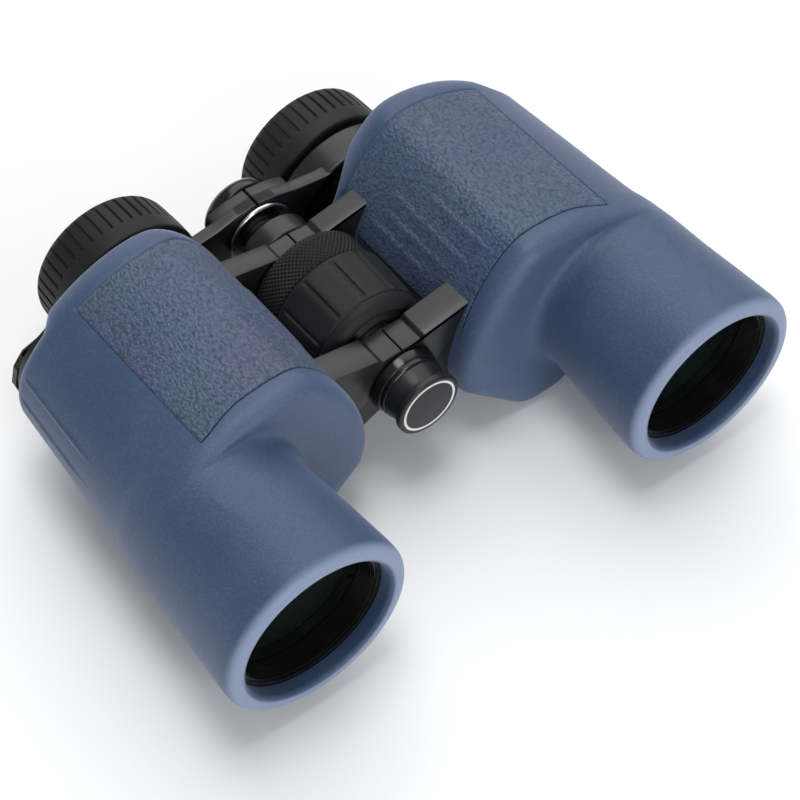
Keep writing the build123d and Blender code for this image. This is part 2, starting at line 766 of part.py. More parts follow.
# how far ahead of the end cap's rear, how far below its radius
dome_rounding = [(4.2, 0), (2.6, 0.4), (1.2, 1.6), (0.3, 3.8), (0, 7.0)]
end_cap_outline = [(end_cap_front, bridge_bore + 0.02), (end_cap_front, knuckle_radius)]
end_cap_outline += [(bridge_cap_rear - ahead, knuckle_radius - depth) for ahead, depth in dome_rounding]
end_cap_outline += [(bridge_cap_rear, 0)]
end_cap_outline += [(bridge_cap_rear - 2.5, 0), (bridge_cap_rear - 2.5, bridge_bore + 0.02)]
save("bridge_end_cap", turned(0, 0, end_cap_outline))


def bridge_arm(own_ring_at_rear, ring_rear):
    """One arm of the bridge: ring round the eyepiece barrel, web, knuckle over the other's ring."""
    crest = [(0, knuckle_radius - 0.1), (6.9, 9.7), (12.9, 8.0), (22.4, 6.6), (eyepiece_x, 9.0)]
    belly = [(eyepiece_x, eyepiece_z), (16.0, -24.0), (10.0, -16.0), (6.0, -9.5), (0, -10.5)]
    ring_front = hub_middle + seat if own_ring_at_rear else bridge_front
    hub_rear = bridge_rear if own_ring_at_rear else hub_middle - seat
    other_front = bridge_front - 1 if own_ring_at_rear else hub_middle - seat
    other_rear = hub_middle + seat if own_ring_at_rear else bridge_rear + 1
    with BuildPart() as piece:
        with BuildSketch(cross_plane(bridge_rear)):
            with BuildLine():
                Polyline(*crest, *belly, close=True)
            make_face()
            Circle(knuckle_radius)
            with Locations((-60 + knuckle_gap, 0)):
                Rectangle(120, 120, mode=Mode.SUBTRACT)
            with BuildLine():
                reach = 3 * knuckle_radius
                start = math.radians(-knuckle_end_angle)
                Polyline(
                    (0, 0),
                    (reach * math.cos(start), reach * math.sin(start)),
                    (0, -reach),
                    close=True,
                )
            make_face(mode=Mode.SUBTRACT)
        extrude(amount=bridge_rear - bridge_front)
        with BuildSketch(cross_plane(bridge_rear)):
            with Locations((bridge_thin_x, 0)):
                Rectangle(80, 80, align=(Align.MIN, Align.CENTER))
        extrude(amount=bridge_rear - bridge_thin_rear, mode=Mode.SUBTRACT)
        add(tube(0, 0, other_front, other_rear, ring_radius + hub_growth), mode=Mode.SUBTRACT)
        add(tube(0, 0, ring_front, hub_rear, ring_radius))
        add(tube(eyepiece_x, eyepiece_z, bridge_front, ring_rear, bridge_ring_radius))
        barrel_hole = barrel_flange_radius + running
        add(
            tube(eyepiece_x, eyepiece_z, bridge_front - 1, ring_rear + 1, barrel_hole),
            mode=Mode.SUBTRACT,
        )
        add(
            tube(0, 0, bridge_front - 1, bridge_rear + 1, bridge_bore + running),
            mode=Mode.SUBTRACT,
        )
    return piece.part


save("left_bridge_arm", bridge_arm(True, bridge_ring_rear))
dioptre_spigot = 118.4
dioptre_spigot_radius = 18.6
with BuildPart() as right_arm:
    add(bridge_arm(False, dioptre_front - seat))
    spigot_bore = barrel_flange_radius + running
    add(
        tube(
            eyepiece_x,
            eyepiece_z,
            bridge_front + 1,
            dioptre_spigot,
            dioptre_spigot_radius,
            spigot_bore,
        )
    )
save("right_bridge_arm", mirror(right_arm.part, about=Plane.YZ))

dioptre_inner = dioptre_spigot_radius + running
dioptre_outline = [(dioptre_front, dioptre_inner), (dioptre_front, bridge_ring_radius)]
dioptre_outline += [(bridge_ring_rear, bridge_ring_radius)]
dioptre_outline += [(bridge_ring_rear, barrel_flange_radius + 0.3)]
dioptre_outline += [(dioptre_spigot + 0.2, barrel_flange_radius + 0.3)]
dioptre_outline += [(dioptre_spigot + 0.2, dioptre_inner)]
save("right_dioptre_ring", turned(-eyepiece_x, eyepiece_z, dioptre_outline))

# --- eyepieces -----------------------------------------------------------------------------------
tube_wall = 1.2
shoulder = 121.4
engagement = 5.1  # of the eyecup's sleeve on the eye tube, when it is out
eye_tube_rear = shoulder + eyecup_travel + engagement
seal_reach = 0.6  # how far ahead of its O-ring the barrel still reaches when it is out
barrel_front = ring_groove_front - focus_rearward - dioptre_travel - seal_reach
field_front = barrel_front + 1.8
stop_front = 112.0
stop_radius = 6.2
eye_lens_front = 127.0
barrel_inner = barrel_radius - tube_wall
eye_inner = eye_tube_radius - tube_wall
barrel_outline = [(barrel_front, barrel_inner - 1.0), (barrel_front, barrel_radius)]
barrel_outline += [(bridge_front, barrel_radius), (bridge_front, barrel_flange_radius)]
barrel_outline += [(shoulder, barrel_flange_radius), (shoulder, eye_tube_radius)]
barrel_outline += [(eye_tube_rear, eye_tube_radius), (eye_tube_rear, eye_inner - 1.4)]
barrel_outline += [(eye_tube_rear - 1.0, eye_inner - 1.4), (eye_tube_rear - 1.0, eye_inner)]
barrel_outline += [(bridge_front + 2.0, eye_inner), (bridge_front + 2.0, barrel_inner)]
barrel_outline += [(barrel_front + 1.0, barrel_inner), (barrel_front + 1.0, barrel_inner - 1.0)]
save_pair("eyepiece_barrel", turned(eyepiece_x, eyepiece_z, barrel_outline))
save_pair(
    "field_lens",
    lens(
        eyepiece_x,
        eyepiece_z,
        barrel_inner - seat,
        field_front,
        0.4,
        field_front + 2.6,
        1.6,
    ),
)
stop_outline = [(stop_front, stop_radius), (stop_front, barrel_inner - seat)]
stop_outline += [(stop_front + 1.2, barrel_inner - seat), (stop_front + 1.2, stop_radius + 0.6)]
save_pair("field_stop", turned(eyepiece_x, eyepiece_z, stop_outline))
save_pair(
    "eye_lens",
    lens(
        eyepiece_x,
        eyepiece_z,
        eye_inner - seat,
        eye_lens_front,
        2.2,
        eye_tube_rear - 1.0 - seat,
        0.5,
    ),
)

# --- eyecups -------------------------------------------------------------------------------------
sleeve_wall = 1.4
groove_depth = 0.3  # at the rear, where the eyecup is narrowest
groove_width = 0.8
grooves_front = 128.0
eyecup_inner = eye_tube_radius + running + sleeve_wall + 0.05
rim_inner = 13.2
eyecup_floor = eye_tube_rear + 0.8
sleeve_outline = [(eyecup_front + 0.2, eye_tube_radius + running)]
sleeve_outline += [(eyecup_front + 0.2, eyecup_inner - 0.05), (eyecup_floor - seat, eyecup_inner - 0.05)]
sleeve_outline += [(eyecup_floor - seat, eye_tube_radius + running)]
save_pair("eyecup_sleeve", turned(eyepiece_x, eyepiece_z, sleeve_outline))
with BuildPart() as eyecup:
    cup_outline = [(eyecup_front, eyecup_inner), (eyecup_front, eyecup_radius - 0.4)]
    cup_outline += [(eyecup_front + 0.4, eyecup_radius), (grooves_front, eyecup_radius)]
    cup_outline += [(overall_length - 2.0, eyecup_rear_radius)]
    cup_outline += [(overall_length - 0.6, eyecup_rear_radius - 0.6)]
    cup_outline += [(overall_length, eyecup_rear_radius - 2.2), (overall_length, eyecup_mouth + 1.2)]
    cup_outline += [(overall_length - 0.8, eyecup_mouth), (eyecup_floor + 0.8, rim_inner)]
    cup_outline += [(eyecup_floor, rim_inner), (eyecup_floor, eyecup_inner)]
    add(turned(eyepiece_x, eyepiece_z, cup_outline))
    with BuildSketch(cross_plane(overall_length)):
        with Locations((eyepiece_x, eyepiece_z)):
            with PolarLocations(eyecup_rear_radius - groove_depth, eyecup_grooves):
                Rectangle(2.0, groove_width, align=(Align.MIN, Align.CENTER))
    extrude(amount=overall_length - grooves_front, mode=Mode.SUBTRACT)
save_pair("eyecup", eyecup.part)
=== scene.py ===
"""The looks of a pair of Porro-prism binoculars with centre focus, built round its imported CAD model.

Shapes are given in millimetres as (x, station, height): x from the hinge axis to the user's left,
station back from the front rim, height above the hinge axis. Each section is one piece, as assembled.
"""
import json
import math

import bmesh
import bpy
import numpy as np
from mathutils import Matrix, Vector


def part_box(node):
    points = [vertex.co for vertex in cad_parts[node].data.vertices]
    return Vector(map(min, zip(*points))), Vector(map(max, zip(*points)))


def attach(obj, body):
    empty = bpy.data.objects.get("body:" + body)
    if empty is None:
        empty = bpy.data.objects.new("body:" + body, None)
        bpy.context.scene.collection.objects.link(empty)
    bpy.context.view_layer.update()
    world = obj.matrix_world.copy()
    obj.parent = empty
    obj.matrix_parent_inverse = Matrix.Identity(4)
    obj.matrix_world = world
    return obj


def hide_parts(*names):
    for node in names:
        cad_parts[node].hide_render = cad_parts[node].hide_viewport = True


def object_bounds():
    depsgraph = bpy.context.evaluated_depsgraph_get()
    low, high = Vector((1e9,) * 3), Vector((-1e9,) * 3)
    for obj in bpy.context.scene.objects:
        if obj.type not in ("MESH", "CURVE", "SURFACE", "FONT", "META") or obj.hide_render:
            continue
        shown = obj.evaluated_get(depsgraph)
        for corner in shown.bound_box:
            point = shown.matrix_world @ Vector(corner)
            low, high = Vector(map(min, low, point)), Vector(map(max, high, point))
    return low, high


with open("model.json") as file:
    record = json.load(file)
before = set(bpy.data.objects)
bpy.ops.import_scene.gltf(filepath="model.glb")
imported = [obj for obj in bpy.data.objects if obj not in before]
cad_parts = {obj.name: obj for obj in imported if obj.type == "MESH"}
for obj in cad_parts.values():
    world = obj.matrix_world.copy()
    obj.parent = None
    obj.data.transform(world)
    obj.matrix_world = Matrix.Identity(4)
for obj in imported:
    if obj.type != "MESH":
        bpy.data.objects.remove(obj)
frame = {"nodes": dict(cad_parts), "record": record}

cad_box = [list(corner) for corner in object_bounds()]

# --- Viewpoint -----------------------------------------------------------------------------------
# The camera stands in front of the right barrel and looks down on it from nearly an arm's length,
# rolled a little to one side.
view_azimuth = math.radians(-39.879)
view_elevation = math.radians(51.922)
view_roll = math.radians(2.443)
back = Vector((
    math.sin(view_azimuth) * math.cos(view_elevation),
    -math.cos(view_azimuth) * math.cos(view_elevation),
    math.sin(view_elevation),
))
level = Vector((math.cos(view_azimuth), math.sin(view_azimuth), 0))
upright = back.cross(level)
across = level * math.cos(view_roll) + upright * math.sin(view_roll)
upward = upright * math.cos(view_roll) - level * math.sin(view_roll)
lens_data = bpy.data.cameras.new("camera")
lens_data.sensor_width = 36.0
lens_data.lens = 124.48
camera = bpy.data.objects.new("camera", lens_data)
bpy.context.scene.collection.objects.link(camera)
for column, direction in enumerate((across, upward, back)):
    for row in range(3):
        camera.matrix_world[row][column] = direction[row]
camera.location = (-0.28256, -0.35784, 0.58619)
bpy.context.scene.camera = camera

# --- Studio --------------------------------------------------------------------------------------
# A white sheet of paper under the object in a dim room, and three soft lights: a large one behind
# and above, a small one overhead and a middling one in front.
paper_reach = 6.0


def node(tree, kind, inputs=None, **settings):
    """Adds a shader node; inputs are values or other nodes' sockets."""
    made = tree.nodes.new("ShaderNode" + kind)
    for key, value in settings.items():
        setattr(made, key, value)
    for key, value in (inputs or {}).items():
        if isinstance(value, bpy.types.NodeSocket):
            tree.links.new(value, made.inputs[key])
        else:
            made.inputs[key].default_value = value
    return made


def new_finish(name, **sockets):
    """A material with one Principled shader, whose sockets are set from the keywords."""
    material = bpy.data.materials.new(name)
    material.use_nodes = True
    shader = material.node_tree.nodes["Principled BSDF"]
    for key, value in sockets.items():
        shader.inputs[key.replace("_", " ")].default_value = value
    return material, material.node_tree, shader


world = bpy.data.worlds.new("studio")
world.use_nodes = True
world.node_tree.nodes["Background"].inputs["Color"].default_value = (0.95, 0.97, 1.0, 1)
world.node_tree.nodes["Background"].inputs["Strength"].default_value = 0.36
bpy.context.scene.world = world
bpy.context.scene.view_settings.view_transform = "Standard"

paper_mesh = bpy.data.meshes.new("paper_floor")
paper_mesh.from_pydata(
    [(-paper_reach, -paper_reach, 0), (paper_reach, -paper_reach, 0),
     (paper_reach, paper_reach, 0), (-paper_reach, paper_reach, 0)], [], [(0, 1, 2, 3)])
paper = bpy.data.objects.new("paper_floor", paper_mesh)
bpy.context.scene.collection.objects.link(paper)
white_paper = new_finish("white_paper", Base_Color=(0.92, 0.92, 0.92, 1), Roughness=0.9)[0]
paper_mesh.materials.append(white_paper)

lights = [
    # name, place, size, power in watts, colour
    ("back_softbox", (0.45, 0.55, 0.9), 1.4, 9.2, (1.0, 0.99, 0.98)),
    ("overhead", (-0.1, 0.0, 1.2), 0.5, 4.6, (1.0, 1.0, 1.0)),
    ("front_softbox", (-0.25, -1.2, 0.55), 0.8, 8.0, (0.97, 0.98, 1.0)),
]
for name, place, size, power, colour in lights:
    lamp = bpy.data.lights.new(name, "AREA")
    lamp.shape = "DISK"
    lamp.size = size
    lamp.energy = power
    lamp.color = colour
    holder = bpy.data.objects.new(name, lamp)
    holder.location = place
    holder.rotation_euler = (-Vector(place)).to_track_quat("-Z", "Y").to_euler()
    bpy.context.scene.collection.objects.link(holder)

# --- Rubber armour -------------------------------------------------------------------------------
# One moulded skin of blue rubber over each half, from the lip round the objective mouth to the rear
# edge of the prism housing. It is matte; its colour is painted a shade lighter on the rim, on top of the
# shoulder and on the rear edge, for wear on the rim and for painted sheen and highlight on all three.
mm = 0.001
rim = cad_box[0][1] / mm
hinge_low, hinge_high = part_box("front_hinge_pin")
hinge_height = (hinge_low.z + hinge_high.z) / 2 / mm
cell_low, cell_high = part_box("left_objective_cell")
objective = ((cell_low.x + cell_high.x) / 2 / mm, (cell_low.z + cell_high.z) / 2 / mm - hinge_height)
cup_low, cup_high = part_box("left_eyecup")
eyepiece = ((cup_low.x + cup_high.x) / 2 / mm, (cup_low.z + cup_high.z) / 2 / mm - hinge_height)

shoulder = 41.0
housing_end = 105.0
corner_circles = [
    # x, height and radius of each corner of the housing, which is the hull of them all
    (37.0, 24.0, 7.5), (50.0, 17.4, 11.6), (34.0, 8.0, 13.3), (25.0, -7.5, 10.3), (40.0, -25.0, 8.34),
    (45.0, -25.0, 8.34),
]
barrel_line = [
    # station and radius
    (5.0, 26.75), (16.0, 26.0), (24.0, 25.35), (30.0, 24.8), (38.0, 24.0), (50.0, 22.4), (60.0, 21.0),
]
pocket_front, pocket_rear, pocket_radius = 59.3, 91.8, 18.4


def lay_out(name, grid, body, stands_for, finish, loop=True, sharp=32.0, mirror=False):
    """A closed piece from a grid of (x, station, height) points: rows wrap across, and wrap along too
    or end in flat caps. Doubles are merged, faces turned outwards, and it rides on its body."""
    grid = np.asarray(grid, float)
    rows, columns = grid.shape[:2]
    numbers = np.arange(rows * columns).reshape(rows, columns)
    ring = np.vstack([numbers, numbers[:1]]) if loop else numbers
    quads = np.stack([ring[:-1], ring[1:], np.roll(ring[1:], -1, 1), np.roll(ring[:-1], -1, 1)], -1)
    faces = quads.reshape(-1, 4).tolist()
    if not loop:
        faces += [numbers[0].tolist(), numbers[-1][::-1].tolist()]
    points = grid.reshape(-1, 3) * (-1 if mirror else 1, 1, 1) + (0, rim, hinge_height)
    mesh = bpy.data.meshes.new(name)
    mesh.from_pydata((points * mm).tolist(), [], faces)
    tidy = bmesh.new()
    tidy.from_mesh(mesh)
    bmesh.ops.remove_doubles(tidy, verts=tidy.verts, dist=2e-6)
    bmesh.ops.dissolve_degenerate(tidy, edges=tidy.edges, dist=1e-6)
    bmesh.ops.recalc_face_normals(tidy, faces=tidy.faces)
    if tidy.calc_volume(signed=True) < 0:
        bmesh.ops.reverse_faces(tidy, faces=tidy.faces)
    tidy.to_mesh(mesh)
    tidy.free()
    mesh.shade_smooth()
    mesh.set_sharp_from_angle(angle=math.radians(sharp))
    piece = bpy.data.objects.new(name, mesh)
    bpy.context.scene.collection.objects.link(piece)
    mesh.materials.append(finish)
    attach(piece, body)
    if stands_for:
        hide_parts(*stands_for)
    return piece


def smooth_step(low_value, high_value, x):
    """0 below low_value, 1 above high_value, and an even S curve between."""
    t = np.clip((x - low_value) / (high_value - low_value), 0, 1)
    return t * t * (3 - 2 * t)


directions = 1440
blur_reach, blur_spread = 140, 52.0


def soften(support):
    """The support function averaged over neighbouring directions, which rounds corners and flats:
    the weights fall off as a bell curve."""
    weights = np.exp(-0.5 * (np.arange(-blur_reach, blur_reach + 1) / blur_spread) ** 2)
    wrapped = np.concatenate([support[-blur_reach:], support, support[:blur_reach]])
    return np.convolve(wrapped, weights / weights.sum(), "valid")


def hull_reach(angles, station, inset=0.0):
    """How far the housing reaches from the objective axis in each direction: the hull of its corner
    circles and of a tapering core, read from its support function and softened on the upper side,
    less the pocket round the focusing wheel."""
    normals = np.linspace(0, 2 * math.pi, directions, endpoint=False)
    taper = (station - shoulder) / (housing_end - shoulder)
    core = 23.5 - 4.8 * taper
    support = np.full_like(normals, core)
    for x, height, radius in corner_circles:
        reach = (x - objective[0]) * np.cos(normals) + (height - objective[1]) * np.sin(normals) + radius
        support = np.maximum(support, reach)
    upper = smooth_step(0.1, 0.7, normals) * (1 - smooth_step(3.3, 3.8, normals))
    support = support + upper * (soften(support) - support)
    lean = np.cos(normals[None, :] - angles[:, None])
    with np.errstate(divide="ignore"):
        meets = np.where(lean > 0.05, (support[None, :] - inset) / lean, np.inf)
    reach = meets.min(1)
    depth = smooth_step(pocket_front - 0.4, pocket_front + 0.4, station)
    depth *= 1 - smooth_step(pocket_rear - 0.4, pocket_rear + 0.4, station)
    radius = (pocket_radius + inset) * depth + 1e-6
    along = -(objective[0] * np.cos(angles) + objective[1] * np.sin(angles))
    inside = along**2 - (objective[0]**2 + objective[1]**2 - radius**2)
    entry = np.where(inside > 0, along - np.sqrt(np.maximum(inside, 0)), np.inf)
    return np.minimum(reach, np.where(along > 0, entry, np.inf))


def barrel_reach(station):
    """Outer radius of the objective barrel, through the heights of its gentle taper."""
    stations, radii = zip(*barrel_line)
    return np.interp(station, stations, radii)


def softer_of(first, second, blend):
    """The larger of two reaches, rounded over where they cross: half of a + b + root((a - b)^2 + c^2)."""
    return (first + second + np.sqrt((first - second) ** 2 + blend ** 2)) / 2


def blend_at(station):
    """How broadly the barrel and the housing run into each other, dying away both ways."""
    return 1.8 * smooth_step(16, 42, station) * (1 - smooth_step(46, 64, station)) + 0.001


def side_reach(angles, station):
    """The housing's reach, blended into the barrel's where the shoulder dies away at the outer side."""
    barrel = barrel_reach(station) - 6 * smooth_step(50, 62, station)
    return softer_of(hull_reach(angles, station), barrel, blend_at(station))


around = np.radians(np.linspace(0, 360, 480, endpoint=False))
side_rows = np.unique(np.concatenate([
    np.linspace(45.9, 50, 20), np.linspace(50.6, 58, 12), np.linspace(58.6, 60.0, 7), np.linspace(61, 91, 28),
    np.linspace(91.2, 92.4, 7), np.linspace(93, 100.6, 9),
]))
rear_rounding = 4.4
lip_radius, lip_step = 21.6, 1.9
rim_crest, rim_bulge, rim_depth = 23.9, 2.8, 2.9
armour_rows = []


def add_row(rows, station, radius):
    """One row of a skin: stations and radii may differ from direction to direction."""
    rows.append((station + 0 * around, radius + 0 * around))


# inside the mouth, round the lip and over the thick rolled rim
for station, radius in ((12.0, lip_radius + lip_step), (4.6, lip_radius + lip_step), (4.4, lip_radius)):
    add_row(armour_rows, station, radius)
for turn in np.linspace(0, math.pi / 2, 7):
    add_row(armour_rows, 1.5 - 1.5 * math.sin(turn), lip_radius + 1.3 * (1 - math.cos(turn)))
for turn in np.linspace(0, math.pi / 2, 11):
    add_row(armour_rows, rim_depth * (1 - math.cos(turn)), rim_crest + rim_bulge * math.sin(turn))
# along the barrel to where it spreads into the shoulder
side = hull_reach(around, shoulder + 0.3)
gap = np.maximum(side - barrel_reach(shoulder), 0)


def barrel_beside(station):
    """The barrel's reach, swelling a little where the housing comes as near to the axis as it does."""
    barrel = barrel_reach(station)
    return softer_of(barrel, barrel - np.abs(side - barrel), blend_at(station))


for station in np.linspace(4.0, 36.5, 25):
    add_row(armour_rows, station, barrel_beside(station))
evened_from = len(armour_rows) - 5
foot_of_shoulder = np.minimum(4.0, 0.42 * gap)
round_of_shoulder = np.minimum(5.2, 0.55 * gap)
for turn in np.linspace(0, math.pi / 2, 12):
    station = shoulder - 4.0 + 4.0 * math.sin(turn)
    add_row(armour_rows, station + 0.35 * foot_of_shoulder * math.sin(turn),
            barrel_beside(station) + foot_of_shoulder * (1 - math.cos(turn)))
low_edge = barrel_beside(shoulder) + foot_of_shoulder
high_edge = np.maximum(side - round_of_shoulder, low_edge)
for share in (0.25, 0.5, 0.75):
    add_row(armour_rows, shoulder + 0.35 * foot_of_shoulder * (1 - share),
            low_edge + share * (high_edge - low_edge))
for turn in np.linspace(0, math.pi / 2, 14):
    station = shoulder + 4.6 * (1 - math.cos(turn))
    edge = hull_reach(around, station + 0.3) - round_of_shoulder * (1 - math.sin(turn))
    add_row(armour_rows, station, softer_of(edge, barrel_reach(station), blend_at(station)))
evened_to = len(armour_rows) - 1
for station in side_rows:
    add_row(armour_rows, station, side_reach(around, station))
# round the rear edge, which laps over the rear cover away from the strap lug, and back inside
past_lug = smooth_step(60, 80, np.degrees(around)) * (1 - smooth_step(148, 170, np.degrees(around)))
overhang = 3.3 * past_lug
for turn in np.linspace(0, math.pi / 2, 16)[1:]:
    station = housing_end - rear_rounding * (1 - math.sin(turn))
    drop = rear_rounding * (1 - math.cos(turn))
    add_row(armour_rows, station + overhang * math.sin(turn), hull_reach(around, station) - drop)
rear_reach = hull_reach(around, housing_end)
inside_reach = np.maximum(hull_reach(around, shoulder + 4) - 4.6, 19.0)
add_row(armour_rows, housing_end + overhang, rear_reach - 5.2)
add_row(armour_rows, housing_end - 1.2 + 2.6 * past_lug, rear_reach - 5.3)
add_row(armour_rows, housing_end - 1.4, rear_reach - 5.3)
add_row(armour_rows, housing_end - 6, rear_reach - 4.6)
add_row(armour_rows, shoulder + 4, inside_reach)
add_row(armour_rows, shoulder + 2.6, np.minimum(22.0, inside_reach))
armour_stations, armour_radii = np.array(armour_rows).transpose(1, 0, 2)
# where the shoulder is low, its rows are drawn towards the mean of their neighbours, over and over
pull = 0.06 + 0.44 * np.exp(-(gap / 7.0) ** 2)
evened = slice(evened_from, evened_to)
ahead = slice(evened_from - 1, evened_to - 1)
behind = slice(evened_from + 1, evened_to + 1)
for _ in range(50):
    for values in (armour_stations, armour_radii):
        values[evened] += pull * ((values[ahead] + values[behind]) / 2 - values[evened])

# two faint ribs and a mould seam on the outer side, and the bed that the grip panel is let into
panel_from, panel_to = 87.4, 174.2
panel_front, panel_rear = 48.6, 100.4


def panel_front_line(degrees):
    """The panel's front edge: it runs along the top of the shoulder, and dips forward at its outer end."""
    return panel_front - 2.4 * (1 - smooth_step(86, 112, degrees)) - 0.6 * smooth_step(150, 175, degrees)


degrees = np.degrees(around)[None, :] + 0 * armour_stations
outside = np.zeros(len(armour_rows), bool)
outside[10:-6] = True
rib_height, seam_depth, panel_bed = 0.42, 0.12, 1.2
ribs = 0
for rib_angle in (26.0, 6.0):
    rib = np.exp(-((degrees - rib_angle) / 1.6) ** 2)
    ribs = ribs + rib * smooth_step(66, 76, armour_stations) * (1 - smooth_step(99, 101.5, armour_stations))
armour_radii += np.where(outside[:, None], rib_height * ribs, 0)
seam = np.exp(-(((degrees - 345 + 180) % 360 - 180) / 0.5) ** 2)
armour_radii -= np.where(outside[:, None], seam_depth * seam * smooth_step(5, 10, armour_stations), 0)
edge = smooth_step(0, 0.9, degrees - panel_from) * smooth_step(0, 0.9, panel_to - degrees)
edge = edge * smooth_step(0, 0.5, armour_stations - panel_front_line(degrees) + 0.2)
edge = edge * smooth_step(0, 0.5, panel_rear + 0.3 - armour_stations)
armour_radii -= np.where(outside[:, None], panel_bed * edge, 0)


def about(axis, angles, stations, radii):
    """Points at those angles and radii about a fore-and-aft axis, given as (x, height)."""
    x = axis[0] + radii * np.cos(angles)
    return np.stack([x, stations + 0 * x, axis[1] + radii * np.sin(angles)], -1)


armour_grid = about(objective, around[None, :], armour_stations, armour_radii)


def blue_rubber():
    """Moulded rubber: even blue in a faint random cloud, painted lighter where the vertices carry wear and
    painted sheen, a pore-fine grain and a dull sheen.
    """
    material, tree, shader = new_finish(
        "blue_rubber", Roughness=0.5, Sheen_Weight=0.25, Sheen_Roughness=0.45,
        Sheen_Tint=(0.55, 0.66, 0.9, 1), Specular_IOR_Level=0.5)
    place = node(tree, "TexCoord").outputs["Object"]
    cloud = node(tree, "TexNoise", {"Vector": place, "Scale": 38.0, "Detail": 5.0, "Roughness": 0.6})
    pores = node(tree, "TexNoise", {"Vector": place, "Scale": 2600.0, "Detail": 2.0, "Roughness": 0.6})
    grain = node(tree, "TexVoronoi", {"Vector": place, "Scale": 1500.0})
    speck = node(tree, "Math", {0: pores.outputs["Fac"], 1: grain.outputs["Distance"]}, operation="ADD")
    wear_and_sheen = node(tree, "Attribute", attribute_name="wear_and_sheen")
    tone = node(tree, "ValToRGB", {"Fac": cloud.outputs["Fac"]})
    tone.color_ramp.elements[0].position = 0.3
    tone.color_ramp.elements[0].color = (0.0195, 0.039, 0.085, 1)
    tone.color_ramp.elements[1].position = 0.72
    tone.color_ramp.elements[1].color = (0.027, 0.051, 0.108, 1)
    speckled = node(tree, "MixRGB", {"Fac": 0.35, "Color1": tone.outputs["Color"],
                                     "Color2": speck.outputs[0]}, blend_type="SOFT_LIGHT")
    # painted sheen and highlight: the colour is mixed towards this light blue by the vertex weights, which
    # stand for wear on the rim and for light on the rim, shoulder top and rear edge
    wear_and_sheen_mix = node(tree, "MixRGB", {"Fac": wear_and_sheen.outputs["Fac"], "Color1": speckled.outputs["Color"],
                                   "Color2": (0.2, 0.25, 0.37, 1)})
    tree.links.new(wear_and_sheen_mix.outputs["Color"], shader.inputs["Base Color"])
    rough = node(tree, "MapRange", {"Value": cloud.outputs["Fac"], "To Min": 0.44, "To Max": 0.6})
    tree.links.new(rough.outputs["Result"], shader.inputs["Roughness"])
    bump = node(tree, "Bump", {"Height": speck.outputs[0], "Strength": 0.32, "Distance": 0.00012})
    tree.links.new(bump.outputs["Normal"], shader.inputs["Normal"])
    return material


armour_rubber = blue_rubber()


def mark_wear_and_sheen(piece, worn_at):
    """Writes how much each vertex is painted lighter, from 0 to 1, as the piece's own attribute: wear and
    painted sheen.
    """
    points = np.zeros(len(piece.data.vertices) * 3)
    piece.data.vertices.foreach_get("co", points)
    points = points.reshape(-1, 3) / mm - (0, rim, hinge_height)
    wear = piece.data.attributes.new("wear_and_sheen", "FLOAT", "POINT")
    wear.data.foreach_set("value", np.clip(worn_at(points), 0, 1).astype(np.float32))


def armour_wear_and_sheen(points):
    """The rim is painted lighter for wear and for its highlight; the top of the shoulder and the rear edge
    are painted lighter as sheen.
    """
    station = points[:, 1]
    radius = np.hypot(np.abs(points[:, 0]) - objective[0], points[:, 2] - objective[1])
    # rim: wear, and a painted highlight where the light catches it
    rim_wear_and_sheen = (1 - smooth_step(0.2, 3.0, station)) * smooth_step(22.2, 23.0, radius)
    # painted sheen on the top of the shoulder and a painted highlight on the rear edge, where the light falls
    shoulder_sheen = smooth_step(36, 41, station) * (1 - smooth_step(43, 49, station))
    shoulder_sheen = shoulder_sheen * smooth_step(24, 27, radius)
    rear_edge_sheen = smooth_step(101.5, 106, station) * 0.15
    return np.maximum(np.maximum(rim_wear_and_sheen, 0.12 * shoulder_sheen), rear_edge_sheen)


for side_name, is_right in (("left", False), ("right", True)):
    armour = lay_out(f"{side_name}_armour_skin", armour_grid, f"{side_name}_half", [f"{side_name}_armour"],
                     armour_rubber, sharp=50, mirror=is_right)
    # the vertex weights paint wear and sheen into the armour's colour
    mark_wear_and_sheen(armour, armour_wear_and_sheen)

# --- Grip panels ---------------------------------------------------------------------------------
# A thinner piece of the same rubber let into the top of each half, flush, with a fine groove round
# it. Its face is moulded with a leather-like pebble grain and stepped ridges beside the wheel.
close_to_edge = np.array([0.35, 0.45, 0.7, 1.1])
panel_angles = np.radians(np.concatenate([
    panel_from + close_to_edge, np.linspace(panel_from + 1.6, panel_to - 1.6, 150),
    panel_to - close_to_edge[::-1],
]))
panel_shares = np.concatenate([
    [0, 0.003, 0.009, 0.018], np.linspace(0.03, 0.97, 90), [0.982, 0.991, 0.997, 1],
])
panel_thickness, edge_drop, edge_width, ridge_height = 1.05, 0.28, 0.45, 0.42
ridges = [
    # angle, front end and rear end
    (150, 55, 88), (157, 60, 86), (163.5, 66, 90), (141, 52, 78),
]
front_line = panel_front_line(np.degrees(panel_angles)) + 0.25
panel_stations = front_line[None, :] + panel_shares[:, None] * (panel_rear - 0.1 - front_line)[None, :]
level_stations = np.linspace(45, 101, 113)
reach_table = np.array([side_reach(panel_angles, station) for station in level_stations])
shift = (panel_stations - level_stations[0]) / (level_stations[1] - level_stations[0])
below = np.clip(shift.astype(int), 0, len(level_stations) - 2)
fraction = shift - below
columns = np.arange(len(panel_angles))[None, :]
panel_radii = reach_table[below, columns] * (1 - fraction) + reach_table[below + 1, columns] * fraction
from_ends = np.minimum(panel_shares, 1 - panel_shares)[:, None] * 52.0
from_sides = np.minimum(panel_angles - panel_angles[0], panel_angles[-1] - panel_angles)[None, :] * 24
border = np.clip(np.minimum(from_ends, from_sides) / edge_width, 0, 1)
rounding = edge_drop * (1 - np.sqrt(np.clip(1 - (1 - border) ** 2, 0, 1)))
ridge_steps = 0
